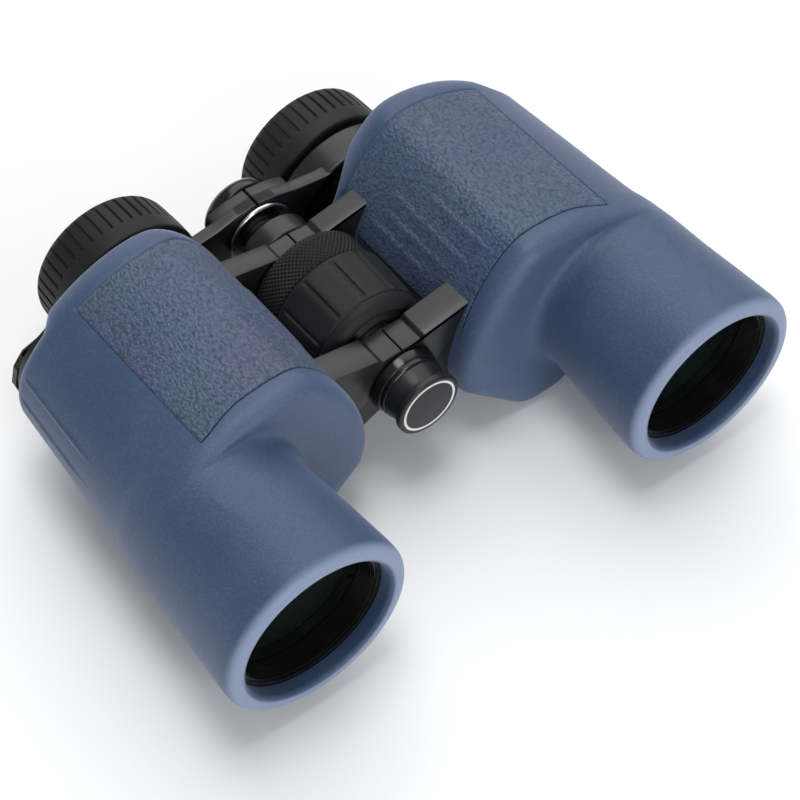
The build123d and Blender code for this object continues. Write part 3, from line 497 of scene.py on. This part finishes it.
for ridge_angle, ridge_front, ridge_rear in ridges:
    stretch = smooth_step(ridge_front, ridge_front + 3, panel_stations)
    stretch = stretch * (1 - smooth_step(ridge_rear - 3, ridge_rear, panel_stations))
    offset = np.degrees(panel_angles)[None, :] - ridge_angle
    falls_slowly, falls_sharply = np.exp(-(offset / 2.8) ** 2), np.exp(-(offset / 0.35) ** 2)
    ridge_steps = ridge_steps + stretch * np.where(offset > 0, falls_slowly, falls_sharply)
top_radii = panel_radii - rounding + ridge_height * ridge_steps
bottom_radii = panel_radii - panel_thickness
panel_top = about(objective, panel_angles[None, :], panel_stations, top_radii)
panel_bottom = about(objective, panel_angles[None, :], panel_stations, bottom_radii)


def slab(top, bottom):
    """Joins two sheets of points into one closed tube of rows: over the top and back underneath."""
    return np.concatenate([top, bottom[:, ::-1]], 1)


def pebbled_rubber():
    """Leather grain: a web of creases round long rounded pebbles about 1 mm across, painted darker in the
    creases as shade and lighter on the crowns.
    """
    material, tree, shader = new_finish(
        "pebbled_blue_rubber", Sheen_Weight=0.15, Sheen_Roughness=0.5, Sheen_Tint=(0.55, 0.66, 0.9, 1),
        Specular_IOR_Level=0.5)
    place = node(tree, "TexCoord").outputs["Object"]
    wander = node(tree, "TexNoise", {"Vector": place, "Scale": 420.0, "Detail": 3.0})
    pushed = node(tree, "VectorMath", {0: wander.outputs["Color"], "Scale": 0.0016}, operation="SCALE")
    bent = node(tree, "VectorMath", {0: place, 1: pushed.outputs["Vector"]}, operation="ADD")
    drawn = node(tree, "Mapping", {"Vector": bent.outputs["Vector"], "Rotation": (0.0, 0.0, 0.5),
                                   "Scale": (1.25, 0.8, 1.25)})
    pebbles = node(tree, "TexVoronoi", {"Vector": drawn.outputs["Vector"], "Scale": 1150.0,
                                        "Smoothness": 0.7}, feature="SMOOTH_F1")
    crown = node(tree, "MapRange", {"Value": pebbles.outputs["Distance"], "From Min": 0.75, "From Max": 0.15})
    swell = node(tree, "TexNoise", {"Vector": bent.outputs["Vector"], "Scale": 1100.0, "Detail": 3.0})
    height = node(tree, "Math", {0: crown.outputs["Result"], 1: 0.6, 2: swell.outputs["Fac"]},
                  operation="MULTIPLY_ADD")
    cloud = node(tree, "TexNoise", {"Vector": place, "Scale": 45.0, "Detail": 4.0})
    # painted shade: the colour follows the grain's height, darker down in the creases where shade falls and
    # lighter on the crowns
    tone = node(tree, "ValToRGB", {"Fac": height.outputs[0]})
    tone.color_ramp.elements[0].position = 0.35
    tone.color_ramp.elements[0].color = (0.015, 0.026, 0.055, 1)
    tone.color_ramp.elements[1].position = 1.15
    tone.color_ramp.elements[1].color = (0.05, 0.08, 0.145, 1)
    painted_crevice_shade = node(tree, "MixRGB", {"Fac": 0.3, "Color1": tone.outputs["Color"],
                                   "Color2": cloud.outputs["Color"]}, blend_type="SOFT_LIGHT")
    tree.links.new(painted_crevice_shade.outputs["Color"], shader.inputs["Base Color"])
    rough = node(tree, "MapRange", {"Value": height.outputs[0], "From Min": 0.3, "From Max": 1.2,
                                    "To Min": 0.62, "To Max": 0.4})
    tree.links.new(rough.outputs["Result"], shader.inputs["Roughness"])
    bump = node(tree, "Bump", {"Height": height.outputs[0], "Strength": 0.75, "Distance": 0.00035})
    tree.links.new(bump.outputs["Normal"], shader.inputs["Normal"])
    return material


panel_rubber = pebbled_rubber()
for side_name, is_right in (("left", False), ("right", True)):
    lay_out(f"{side_name}_grip", slab(panel_top, panel_bottom), f"{side_name}_half",
            [f"{side_name}_grip_panel"], panel_rubber, loop=False, sharp=50, mirror=is_right)

# --- Black castings ------------------------------------------------------------------------------
# Each half has a thin die-cast alloy housing under its rubber, with two hinge arms standing out of
# it. They are sprayed satin black, and their edges are crisp but slightly broken.


def satin_black():
    """Sprayed paint over alloy: a fine orange-peel bump, faint dust, and uneven gloss."""
    material, tree, shader = new_finish("satin_black_paint", Specular_IOR_Level=0.42, Coat_Weight=0.05,
                                        Coat_Roughness=0.2)
    place = node(tree, "TexCoord").outputs["Object"]
    peel = node(tree, "TexNoise", {"Vector": place, "Scale": 1500.0, "Detail": 2.0})
    dust = node(tree, "TexNoise", {"Vector": place, "Scale": 90.0, "Detail": 6.0, "Roughness": 0.7})
    tone = node(tree, "ValToRGB", {"Fac": dust.outputs["Fac"]})
    tone.color_ramp.elements[0].position = 0.35
    tone.color_ramp.elements[0].color = (0.007, 0.007, 0.0075, 1)
    tone.color_ramp.elements[1].position = 0.8
    tone.color_ramp.elements[1].color = (0.016, 0.016, 0.017, 1)
    tree.links.new(tone.outputs["Color"], shader.inputs["Base Color"])
    rough = node(tree, "MapRange", {"Value": dust.outputs["Fac"], "To Min": 0.27, "To Max": 0.42})
    tree.links.new(rough.outputs["Result"], shader.inputs["Roughness"])
    bump = node(tree, "Bump", {"Height": peel.outputs["Fac"], "Strength": 0.12, "Distance": 0.00008})
    tree.links.new(bump.outputs["Normal"], shader.inputs["Normal"])
    return material


black_paint = satin_black()


def eased(outline, radius, steps=4, closed=True):
    """The outline with each corner cut back by up to radius and rounded on a quadratic curve."""
    corners = np.asarray(outline, float)
    before = np.roll(corners, 1, 0) - corners
    after = np.roll(corners, -1, 0) - corners
    long_before = np.linalg.norm(before, axis=1, keepdims=True) + 1e-9
    long_after = np.linalg.norm(after, axis=1, keepdims=True) + 1e-9
    cut = np.minimum(radius, 0.45 * np.minimum(long_before, long_after))
    if not closed:
        cut[0] = cut[-1] = 0
    start = corners + before / long_before * cut
    end = corners + after / long_after * cut
    t = np.linspace(0, 1, steps)[None, :, None]
    curve = (1 - t) ** 2 * start[:, None] + 2 * t * (1 - t) * corners[:, None] + t ** 2 * end[:, None]
    return curve.reshape(-1, 2)


def plate(outline, front, rear, broken_edge, corner):
    """A plate across the object: its (x, height) outline carried from front to rear, with both
    edges broken, each row being the outline drawn in along its own normals."""
    line = eased(outline, corner)
    line = line[np.linalg.norm(line - np.roll(line, 1, 0), axis=1) > 1e-3]
    tangent = np.roll(line, -1, 0) - np.roll(line, 1, 0)
    normal = np.stack([tangent[:, 1], -tangent[:, 0]], 1)
    normal /= np.linalg.norm(normal, axis=1, keepdims=True)
    area = np.sum(line[:, 0] * np.roll(line[:, 1], -1) - np.roll(line[:, 0], -1) * line[:, 1])
    normal *= math.copysign(1, area)
    rows = []
    for station, inset in ((front, 1.0), (front + 0.3 * broken_edge, 0.3), (front + broken_edge, 0),
                           (rear - broken_edge, 0), (rear - 0.3 * broken_edge, 0.3), (rear, 1.0)):
        inner = line - normal * inset * broken_edge
        rows.append(np.stack([inner[:, 0], np.full(len(inner), station), inner[:, 1]], 1))
    return np.array(rows)


def arc(radius, start, end, steps):
    """Points on an arc about the hinge axis between two angles in degrees."""
    angles = np.radians(np.linspace(start, end, steps))
    return radius * np.stack([np.cos(angles), np.sin(angles)], 1)


def turned(outline, axis=(0.0, 0.0), corner=0.25, steps=4, ends_on_axis=False):
    """Rows of circles about a fore-and-aft axis, one for each point of the (station, radius) outline."""
    line = eased(outline, corner, steps, closed=not ends_on_axis)
    angles = np.linspace(0, 2 * math.pi, 160, endpoint=False)[None, :]
    return about(axis, angles, line[:, :1], line[:, 1:])


# the tube round the objective, the thin shell of the housing, and back along their inside
wall_outside, wall_inside = 2.4, 4.1
casting_rows = []
for station, radius in ((4.6, 23.5), (24.0, 23.5), (43.2, 21.3)):
    add_row(casting_rows, station, radius)
for station, inset in ((43.4, wall_outside), (75.0, wall_outside), (103.4, wall_outside),
                       (103.4, wall_inside), (75.0, wall_inside), (45.2, wall_inside)):
    add_row(casting_rows, station, hull_reach(around, station, inset))
for station, radius in ((45.0, 19.6), (24.2, 19.6), (24.0, 22.15), (4.6, 22.15)):
    add_row(casting_rows, station, radius)
casting_grid = about(objective, around[None, :], *np.array(casting_rows).transpose(1, 0, 2))
knuckle = 11.0
hole_edge = arc(8.8, -62, 89, 26)
ring_radius = 8.74
arms = [
    # name, front, rear and the bore of its knuckle ring
    ("front", 49.6, 58.7, 5.1), ("rear", 92.0, 98.5, 6.56),
]
arm_top = [(0.12, knuckle - 0.2), (6.2, 10.3), (7.1, 11.5), (25.0, 15.0), (31.0, 16.0)]
arm_under = [(31.0, 12.5), (23.5, 4.0), (22.0, -6.0), (23.0, -15.4), (19.0, -15.2), (9.5, -10.2)]
arm_outline = np.concatenate([arm_top, arm_under, hole_edge])
for side_name, is_right in (("left", False), ("right", True)):
    body = f"{side_name}_half"
    lay_out(f"{side_name}_housing_casting", casting_grid, body, [f"{side_name}_body_shell"],
            black_paint, mirror=is_right)
    for arm_name, front, rear, bore in arms:
        lay_out(f"{side_name}_{arm_name}_arm", plate(arm_outline, front, rear, 0.4, 0.5), body, [],
                black_paint, loop=False, sharp=28, mirror=is_right)
        middle = (front + rear) / 2
        start, end = (front + 0.1, middle - 0.1) if is_right else (middle + 0.1, rear - 0.1)
        lay_out(f"{side_name}_{arm_name}_knuckle_ring",
                turned([(start, bore), (start, ring_radius), (end, ring_radius), (end, bore)]), body, [],
                black_paint)

# --- Objectives ----------------------------------------------------------------------------------
# A black anodised cell sits behind the rubber lip, threaded inside against stray light. The domed
# front lens is set deep in it, and its coating turns reflections a faint green.


def black_anodised(name, roughness):
    """Anodised alloy: near black, with the fine rings that turning leaves."""
    material, tree, shader = new_finish(name, Base_Color=(0.006, 0.006, 0.0065, 1), Specular_IOR_Level=0.38)
    place = node(tree, "TexCoord").outputs["Object"]
    drawn = node(tree, "Mapping", {"Vector": place, "Scale": (0.02, 1.0, 0.02)})
    rings = node(tree, "TexNoise", {"Vector": drawn.outputs["Vector"], "Scale": 6000.0, "Detail": 3.0})
    rough = node(tree, "MapRange", {"Value": rings.outputs["Fac"], "To Min": roughness - 0.08,
                                    "To Max": roughness + 0.1})
    tree.links.new(rough.outputs["Result"], shader.inputs["Roughness"])
    bump = node(tree, "Bump", {"Height": rings.outputs["Fac"], "Strength": 0.1, "Distance": 0.00005})
    tree.links.new(bump.outputs["Normal"], shader.inputs["Normal"])
    return material


anodised = black_anodised("black_anodised", 0.25)
black_lacquer = black_anodised("gloss_black_lacquer", 0.16)
cell_outline = [(4.6, 20.5), (4.6, 22.0), (23.8, 22.0), (23.8, 19.3), (22.0, 19.3), (22.0, 21.2),
                (12.4, 21.2)]
thread_start, thread_pitch, thread_turns = 5.4, 0.75, 9
for turn_number in reversed(range(thread_turns)):
    crest = thread_start + thread_pitch * turn_number
    cell_outline += [(crest + 0.5, 20.95), (crest + 0.3, 20.35), (crest + 0.1, 20.95)]


def green_coated_glass():
    """Dark clear glass whose coating tints what it reflects green."""
    material, tree, shader = new_finish(
        "green_coated_glass", Roughness=0.02, IOR=1.5, Transmission_Weight=0.35,
        Specular_Tint=(0.6, 1.0, 0.8, 1), Specular_IOR_Level=0.42)
    place = node(tree, "TexCoord").outputs["Object"]
    film = node(tree, "TexNoise", {"Vector": place, "Scale": 25.0, "Detail": 2.0})
    tone = node(tree, "ValToRGB", {"Fac": film.outputs["Fac"]})
    tone.color_ramp.elements[0].position = 0.3
    tone.color_ramp.elements[0].color = (0.008, 0.012, 0.012, 1)
    tone.color_ramp.elements[1].position = 0.75
    tone.color_ramp.elements[1].color = (0.012, 0.02, 0.016, 1)
    tree.links.new(tone.outputs["Color"], shader.inputs["Base Color"])
    return material


coated_glass = green_coated_glass()


def dome(edge, rise, radius, back=False):
    """Stations and radii over a spherical face, from the axis to its rim, rising towards the front."""
    sphere = (radius ** 2 + rise ** 2) / (2 * abs(rise))
    radii = np.linspace(0, radius, 14)
    height = (np.sqrt(sphere ** 2 - radii ** 2) - (sphere - abs(rise))) * math.copysign(1, rise)
    face = list(zip(edge - height, radii))
    return face[::-1] if back else face


lens_radius = 20.95
lens_outline = dome(14.6, 2.0, lens_radius) + dome(17.15, -2.3, lens_radius, back=True)
for side_name, is_right in (("left", False), ("right", True)):
    body = f"{side_name}_half"
    lay_out(f"{side_name}_threaded_cell", turned(cell_outline, objective, corner=0.06, steps=2), body,
            [f"{side_name}_objective_cell"], anodised, mirror=is_right)
    lay_out(f"{side_name}_front_glass",
            turned(lens_outline, objective, corner=0.0, steps=2, ends_on_axis=True), body,
            [f"{side_name}_objective_crown_lens"], coated_glass, loop=False, mirror=is_right)

# --- Hinge, tripod socket and its cap ------------------------------------------------------------
# The turned boss at the front of the hinge holds the tripod thread behind a screw-in cap, whose face
# carries a thin printed ring. A plain turned sleeve stands behind the rear arms.


def satin_plastic():
    """Moulded black plastic: softly mottled gloss and a very fine spark-eroded texture."""
    material, tree, shader = new_finish("satin_black_plastic", Specular_IOR_Level=0.35)
    place = node(tree, "TexCoord").outputs["Object"]
    spark = node(tree, "TexNoise", {"Vector": place, "Scale": 3200.0, "Detail": 2.0})
    cloud = node(tree, "TexNoise", {"Vector": place, "Scale": 120.0, "Detail": 4.0})
    tone = node(tree, "ValToRGB", {"Fac": cloud.outputs["Fac"]})
    tone.color_ramp.elements[0].color = (0.007, 0.007, 0.0075, 1)
    tone.color_ramp.elements[1].color = (0.015, 0.015, 0.016, 1)
    tree.links.new(tone.outputs["Color"], shader.inputs["Base Color"])
    rough = node(tree, "MapRange", {"Value": cloud.outputs["Fac"], "To Min": 0.3, "To Max": 0.45})
    tree.links.new(rough.outputs["Result"], shader.inputs["Roughness"])
    bump = node(tree, "Bump", {"Height": spark.outputs["Fac"], "Strength": 0.15, "Distance": 0.00006})
    tree.links.new(bump.outputs["Normal"], shader.inputs["Normal"])
    return material


plastic = satin_plastic()
boss_outline = [(54.8, 0), (54.8, 2.65), (44.8, 2.65), (44.8, 8.9), (45.2, 9.35), (46.0, 9.45), (46.1, 9.25),
                (46.5, 9.25), (46.6, 9.55), (49.0, 10.1), (49.4, 9.7), (49.4, 4.98), (65.0, 4.98), (65.0, 0)]
lay_out("hinge_boss", turned(boss_outline, corner=0.2, ends_on_axis=True), "left_half", ["front_hinge_pin"],
        black_lacquer, loop=False)
sleeve_outline = [(86.0, 3.54), (86.0, 6.48), (98.7, 6.48), (98.7, 10.3), (99.2, 10.72), (104.9, 10.72),
                  (105.4, 10.3), (105.45, 8.6), (100.7, 8.6), (100.7, 3.54)]
lay_out("hinge_sleeve", turned(sleeve_outline, corner=0.3), "left_half", ["rear_hinge_tube"],
        black_paint)
cap_outline = [(37.85, 0), (37.85, 7.42), (38.05, 7.46), (38.05, 8.24), (37.85, 8.28), (37.8, 8.9),
               (38.15, 9.5), (39.6, 9.5), (39.95, 9.25), (40.0, 8.2), (41.2, 8.35), (44.65, 9.15),
               (44.68, 2.6), (50.6, 2.6), (50.6, 0)]
lay_out("tripod_socket_cap", turned(cap_outline, corner=0.12, ends_on_axis=True), "tripod_cap",
        ["tripod_cap"], plastic, loop=False)


def pale_print():
    """Pad-printed off-white ink, a little uneven where the pad lifted."""
    material, tree, shader = new_finish("pale_print", Roughness=0.5)
    place = node(tree, "TexCoord").outputs["Object"]
    uneven = node(tree, "TexNoise", {"Vector": place, "Scale": 700.0, "Detail": 4.0})
    tone = node(tree, "ValToRGB", {"Fac": uneven.outputs["Fac"]})
    tone.color_ramp.elements[0].color = (0.62, 0.62, 0.61, 1)
    tone.color_ramp.elements[1].color = (0.85, 0.85, 0.84, 1)
    tree.links.new(tone.outputs["Color"], shader.inputs["Base Color"])
    return material


ring_print = pale_print()
printed_ring = [(37.83, 7.5), (37.83, 8.2), (38.1, 8.2), (38.1, 7.5)]
lay_out("cap_printed_ring", turned(printed_ring, corner=0.03), "tripod_cap", ["cap_ring"],
        ring_print)

# --- Focusing wheel ------------------------------------------------------------------------------
# A black rubber grip on an alloy core: broad pads between thin grooves for the fingertip, and behind
# a groove a knurled band of the same rubber, as it came out of the mould.


def matte_black_rubber():
    """Black rubber, matte, with a little cloudy bloom."""
    material, tree, shader = new_finish("wheel_rubber", Specular_IOR_Level=0.22, Sheen_Weight=0.03,
                                        Sheen_Roughness=0.5)
    place = node(tree, "TexCoord").outputs["Object"]
    grain = node(tree, "TexNoise", {"Vector": place, "Scale": 2400.0, "Detail": 3.0})
    bloom = node(tree, "TexNoise", {"Vector": place, "Scale": 160.0, "Detail": 5.0})
    tone = node(tree, "ValToRGB", {"Fac": bloom.outputs["Fac"]})
    tone.color_ramp.elements[0].color = (0.006, 0.006, 0.0065, 1)
    tone.color_ramp.elements[1].color = (0.016, 0.016, 0.017, 1)
    tree.links.new(tone.outputs["Color"], shader.inputs["Base Color"])
    rough = node(tree, "MapRange", {"Value": bloom.outputs["Fac"], "To Min": 0.42, "To Max": 0.62})
    tree.links.new(rough.outputs["Result"], shader.inputs["Roughness"])
    bump = node(tree, "Bump", {"Height": grain.outputs["Fac"], "Strength": 0.25, "Distance": 0.0001})
    tree.links.new(bump.outputs["Normal"], shader.inputs["Normal"])
    return material


black_rubber = matte_black_rubber()
pads = 12
bore = 13.3
pad_groove, pad_hollow = 0.62, 0.22
grip_line = [(60.4, bore), (60.4, 13.9), (60.9, 15.0), (61.9, 15.9), (63.6, 16.55), (63.9, 16.35),
             (64.3, 16.35), (64.6, 16.75), (67.0, 17.05), (71.0, 17.25), (76.0, 17.4), (80.2, 17.4),
             (80.9, 16.9), (80.95, bore)]
grip_line = eased(grip_line, 0.5, 5)
fine_line = []
for first, second in zip(grip_line, np.roll(grip_line, -1, 0)):
    pieces = max(1, int(np.linalg.norm(second - first) / 0.8))
    fine_line.append(first + (second - first) * np.linspace(0, 1, pieces, endpoint=False)[:, None])
fine_line = np.concatenate(fine_line)
wheel_angles = np.linspace(0, 2 * math.pi, pads * 40, endpoint=False)
across_pad = np.abs((wheel_angles * pads / (2 * math.pi) + 0.5) % 1 - 0.5) * 2
stations, radii = fine_line[:, :1], fine_line[:, 1:]
padded = smooth_step(64.4, 66.5, stations) * (1 - smooth_step(78.6, 79.8, stations)) * (radii > 15)
hollow = pad_groove * (1 - smooth_step(0.07, 0.17, across_pad))
hollow = hollow + pad_hollow * smooth_step(0.2, 1, across_pad)
radii = radii - padded * hollow[None, :]
lay_out("wheel_grip_rubber", about((0, 0), wheel_angles, stations, radii), "focus_wheel",
        ["focus_wheel_grip"], black_rubber, sharp=40)

knurl_across, knurl_pitch, knurl_foot, knurl_height = 72, 1.45, 16.0, 0.62
knurl_angles = np.linspace(0, 2 * math.pi, knurl_across * 7, endpoint=False)
knurl_stations = np.linspace(81.9, 90.6, 43)
phase_around = knurl_angles[None, :] * knurl_across / 2
phase_along = knurl_stations[:, None] * math.pi / knurl_pitch
diamonds = np.abs(np.sin(phase_around + phase_along)) * np.abs(np.sin(phase_around - phase_along))
knurl_radii = knurl_foot + knurl_height * np.sqrt(diamonds)
knurl_radii = knurl_radii - 0.9 * smooth_step(89.0, 91.4, knurl_stations)[:, None]
front_rows = np.array([(81.1, bore), (81.1, 15.9), (81.6, 16.3)])
rear_rows = np.array([(90.9, 15.6), (91.35, 15.2), (91.4, bore)])
stations = np.concatenate([front_rows[:, 0], knurl_stations, rear_rows[:, 0]])[:, None]
plain = 0 * knurl_angles
radii = np.concatenate([front_rows[:, 1:] + plain, knurl_radii, rear_rows[:, 1:] + plain])
lay_out("wheel_knurled_band", about((0, 0), knurl_angles, stations, radii), "focus_wheel",
        ["focus_wheel_knurl"], black_rubber, sharp=45)

# --- Eyepiece bridge -----------------------------------------------------------------------------
# Two cast arms join at the focusing screw behind the wheel and each carries an eyepiece in a ring.
# A bright washer shows in front of their hub and a domed plastic cap closes it.
button_outline = [(121.5, 0), (121.5, 4.6), (118.15, 4.6), (118.15, 10.6), (118.5, 10.95), (119.8, 10.95),
                  (121.2, 10.6), (122.6, 9.5), (123.5, 7.6), (123.95, 4.2), (124.0, 0)]
lay_out("bridge_end_button", turned(button_outline, corner=0.7, steps=5, ends_on_axis=True), "left_bridge",
        ["bridge_end_cap"], black_lacquer, loop=False)


def polished_steel():
    """Polished washer: bright, with fine turned rings."""
    material, tree, shader = new_finish("polished_steel", Metallic=1.0)
    place = node(tree, "TexCoord").outputs["Object"]
    rings = node(tree, "TexNoise", {"Vector": place, "Scale": 1800.0, "Detail": 4.0})
    tone = node(tree, "ValToRGB", {"Fac": rings.outputs["Fac"]})
    tone.color_ramp.elements[0].color = (0.32, 0.32, 0.33, 1)
    tone.color_ramp.elements[1].color = (0.6, 0.6, 0.61, 1)
    tree.links.new(tone.outputs["Color"], shader.inputs["Base Color"])
    rough = node(tree, "MapRange", {"Value": rings.outputs["Fac"], "To Min": 0.15, "To Max": 0.3})
    tree.links.new(rough.outputs["Result"], shader.inputs["Roughness"])
    return material


steel = polished_steel()
washer_outline = [(109.72, 4.55), (109.72, 9.5), (110.1, 10.05), (110.9, 10.05), (111.25, 9.7),
                  (111.25, 4.55)]
lay_out("bridge_bright_washer", turned(washer_outline, corner=0.2), "left_bridge", ["bridge_collar"],
        steel)

bridge_top = [(0.12, knuckle - 0.2), (6.9, 9.8), (12.9, 8.1), (22.4, 6.7), (31.0, 8.6)]
bridge_under = [(25.0, -4.0), (16.8, -14.0), (15.0, -20.5), (12.5, -18.0), (9.8, -12.5), (6.0, -9.7)]
web_outline = np.concatenate([bridge_top, bridge_under, hole_edge])
hub_side = [(12.4, 8.2), (12.8, 2.0), (11.0, -8.0), (6.0, -9.7)]
hub_outline = np.concatenate([bridge_top[:2], hub_side, hole_edge])
hub_bore = 4.6
eyepiece_ring = {
    "left": [(111.4, 17.05), (111.4, 20.3), (111.9, 20.85), (120.5, 20.85), (121.05, 20.3), (121.05, 17.05)],
    "right": [(111.4, 17.05), (111.4, 20.3), (111.9, 20.85), (116.2, 20.85), (116.45, 20.6), (116.45, 18.6),
              (118.4, 18.6), (118.4, 17.05)],
}
for side_name, is_right in (("left", False), ("right", True)):
    body = f"{side_name}_bridge"
    lay_out(f"{side_name}_bridge_ring", turned(eyepiece_ring[side_name], eyepiece, corner=0.4), body,
            [f"{side_name}_bridge_arm"], black_paint, mirror=is_right)
    lay_out(f"{side_name}_bridge_web", plate(web_outline, 111.4, 115.2, 0.45, 0.9), body, [],
            black_paint, loop=False, sharp=30, mirror=is_right)
    lay_out(f"{side_name}_bridge_hub", plate(hub_outline, 111.42, 118.0, 0.45, 0.9), body, [],
            black_paint, loop=False, sharp=30, mirror=is_right)
    start, end = (111.5, 114.6) if is_right else (114.8, 117.9)
    lay_out(f"{side_name}_bridge_knuckle_ring",
            turned([(start, hub_bore), (start, ring_radius), (end, ring_radius), (end, hub_bore)]), body, [],
            black_paint)

# --- Dioptre ring --------------------------------------------------------------------------------
# Only the right eyepiece has this setting ring. It turns on a spigot of the bridge, and its outside
# has a row of fine straight flutes to grip.
flutes, flute_depth = 60, 0.35
flute_angles = np.linspace(0, 2 * math.pi, flutes * 8, endpoint=False)
dioptre_line = eased([(116.62, 18.65), (116.62, 20.4), (117.0, 20.85), (117.4, 20.85), (120.3, 20.85),
                      (120.7, 20.85), (121.05, 20.4), (121.05, 17.3), (118.6, 17.3), (118.6, 18.65)], 0.3)
stations, radii = dioptre_line[:, :1], dioptre_line[:, 1:]
flute = np.maximum(0, np.cos(flute_angles * flutes)) ** 2
fluted = smooth_step(117.2, 117.6, stations) * (1 - smooth_step(120.1, 120.5, stations)) * (radii > 20.5)
radii = radii - flute_depth * flute * fluted
lay_out("right_dioptre_setting_ring", about((-eyepiece[0], eyepiece[1]), flute_angles, stations, radii),
        "dioptre_ring", ["right_dioptre_ring"], plastic, sharp=40)

# --- Eyecups -------------------------------------------------------------------------------------
# A soft black rubber cup over each eyepiece, smooth in front, with thin grooves along the rear two
# thirds so that wet fingers can turn it, and a rolled rear rim that rests round the eye.
cup_line = [(122.6, 17.1), (122.6, 20.9), (123.1, 21.45), (124.0, 21.5), (127.2, 21.5), (128.4, 21.45),
            (130.0, 21.35), (132.0, 21.25), (134.0, 21.15), (136.0, 20.95), (137.3, 20.5), (138.2, 19.7),
            (138.55, 18.6), (138.55, 17.2), (138.3, 16.2), (137.8, 15.5), (136.4, 14.7), (135.2, 13.6),
            (134.6, 13.2), (134.3, 13.3), (134.3, 17.1)]
cup_line = eased(cup_line, 0.4, 3)
groove_count, groove_depth = 42, 0.6
cup_angles = np.linspace(0, 2 * math.pi, groove_count * 12, endpoint=False)
phase = np.abs((cup_angles * groove_count / (2 * math.pi) + 0.5) % 1 - 0.5) * 2
stations, radii = cup_line[:, :1], cup_line[:, 1:]
grooved = smooth_step(127.4, 128.8, stations) * (1 - smooth_step(136.6, 138.0, stations)) * (radii > 19)
radii = radii - groove_depth * grooved * (1 - smooth_step(0.14, 0.34, phase))[None, :]
cup_grid = about(eyepiece, cup_angles, stations, radii)
for side_name, is_right in (("left", False), ("right", True)):
    lay_out(f"{side_name}_eyecup_rubber", cup_grid, f"{side_name}_eyecup", [f"{side_name}_eyecup"],
            black_rubber, sharp=45, mirror=is_right)

# --- Parts that keep their CAD shape -------------------------------------------------------------
# Glass, clips, screws, seals and covers inside and behind the halves: each is left as it is and gets
# the finish of its own stock, ground, pressed, milled or moulded.


def worked(name, dark, light, metallic, rough_low, rough_high, scale, stretch=(1, 1, 1), **sockets):
    """A stock finish: two tones and a gloss that follow a stretched grain, with a faint bump."""
    material, tree, shader = new_finish(name, Metallic=metallic, **sockets)
    place = node(tree, "TexCoord").outputs["Object"]
    drawn = node(tree, "Mapping", {"Vector": place, "Scale": stretch})
    grain = node(tree, "TexNoise", {"Vector": drawn.outputs["Vector"], "Scale": scale, "Detail": 4.0})
    tone = node(tree, "ValToRGB", {"Fac": grain.outputs["Fac"]})
    tone.color_ramp.elements[0].color = (*dark, 1)
    tone.color_ramp.elements[1].color = (*light, 1)
    tree.links.new(tone.outputs["Color"], shader.inputs["Base Color"])
    rough = node(tree, "MapRange", {"Value": grain.outputs["Fac"], "To Min": rough_low, "To Max": rough_high})
    tree.links.new(rough.outputs["Result"], shader.inputs["Roughness"])
    bump = node(tree, "Bump", {"Height": grain.outputs["Fac"], "Strength": 0.1, "Distance": 0.00005})
    tree.links.new(bump.outputs["Normal"], shader.inputs["Normal"])
    return material


stock = {
    "black_metal": anodised, "casting": black_paint, "black_plastic": plastic, "coated_glass": coated_glass,
    "prism_glass": worked("ground_prism_glass", (0.5, 0.56, 0.55), (0.75, 0.8, 0.8), 0, 0.05, 0.25, 60,
                          Transmission_Weight=0.85, IOR=1.57),
    "bare_alloy": worked("milled_alloy", (0.3, 0.3, 0.3), (0.45, 0.45, 0.46), 1, 0.3, 0.5, 500, (1, 0.1, 1)),
    "spring_steel": worked("spring_steel", (0.35, 0.35, 0.36), (0.5, 0.5, 0.52), 1, 0.2, 0.4, 700,
                           (0.1, 1, 1)),
    "screw_steel": worked("blackened_steel", (0.03, 0.03, 0.032), (0.09, 0.09, 0.09), 1, 0.25, 0.45, 900),
    "seal_rubber": worked("greased_seal_rubber", (0.01, 0.01, 0.01), (0.02, 0.02, 0.02), 0, 0.2, 0.35, 600),
    "wheel_rubber": black_rubber, "eyecup_rubber": black_rubber, "armour": armour_rubber,
    "grip": panel_rubber, "bright_ring": steel, "pale_ring": ring_print,
}
slot_of = {part["node"]: part["material_slot"] for part in frame["record"]["subparts"]}
for name, part in frame["nodes"].items():
    part.data.materials.clear()
    part.data.materials.append(stock[slot_of[name]])
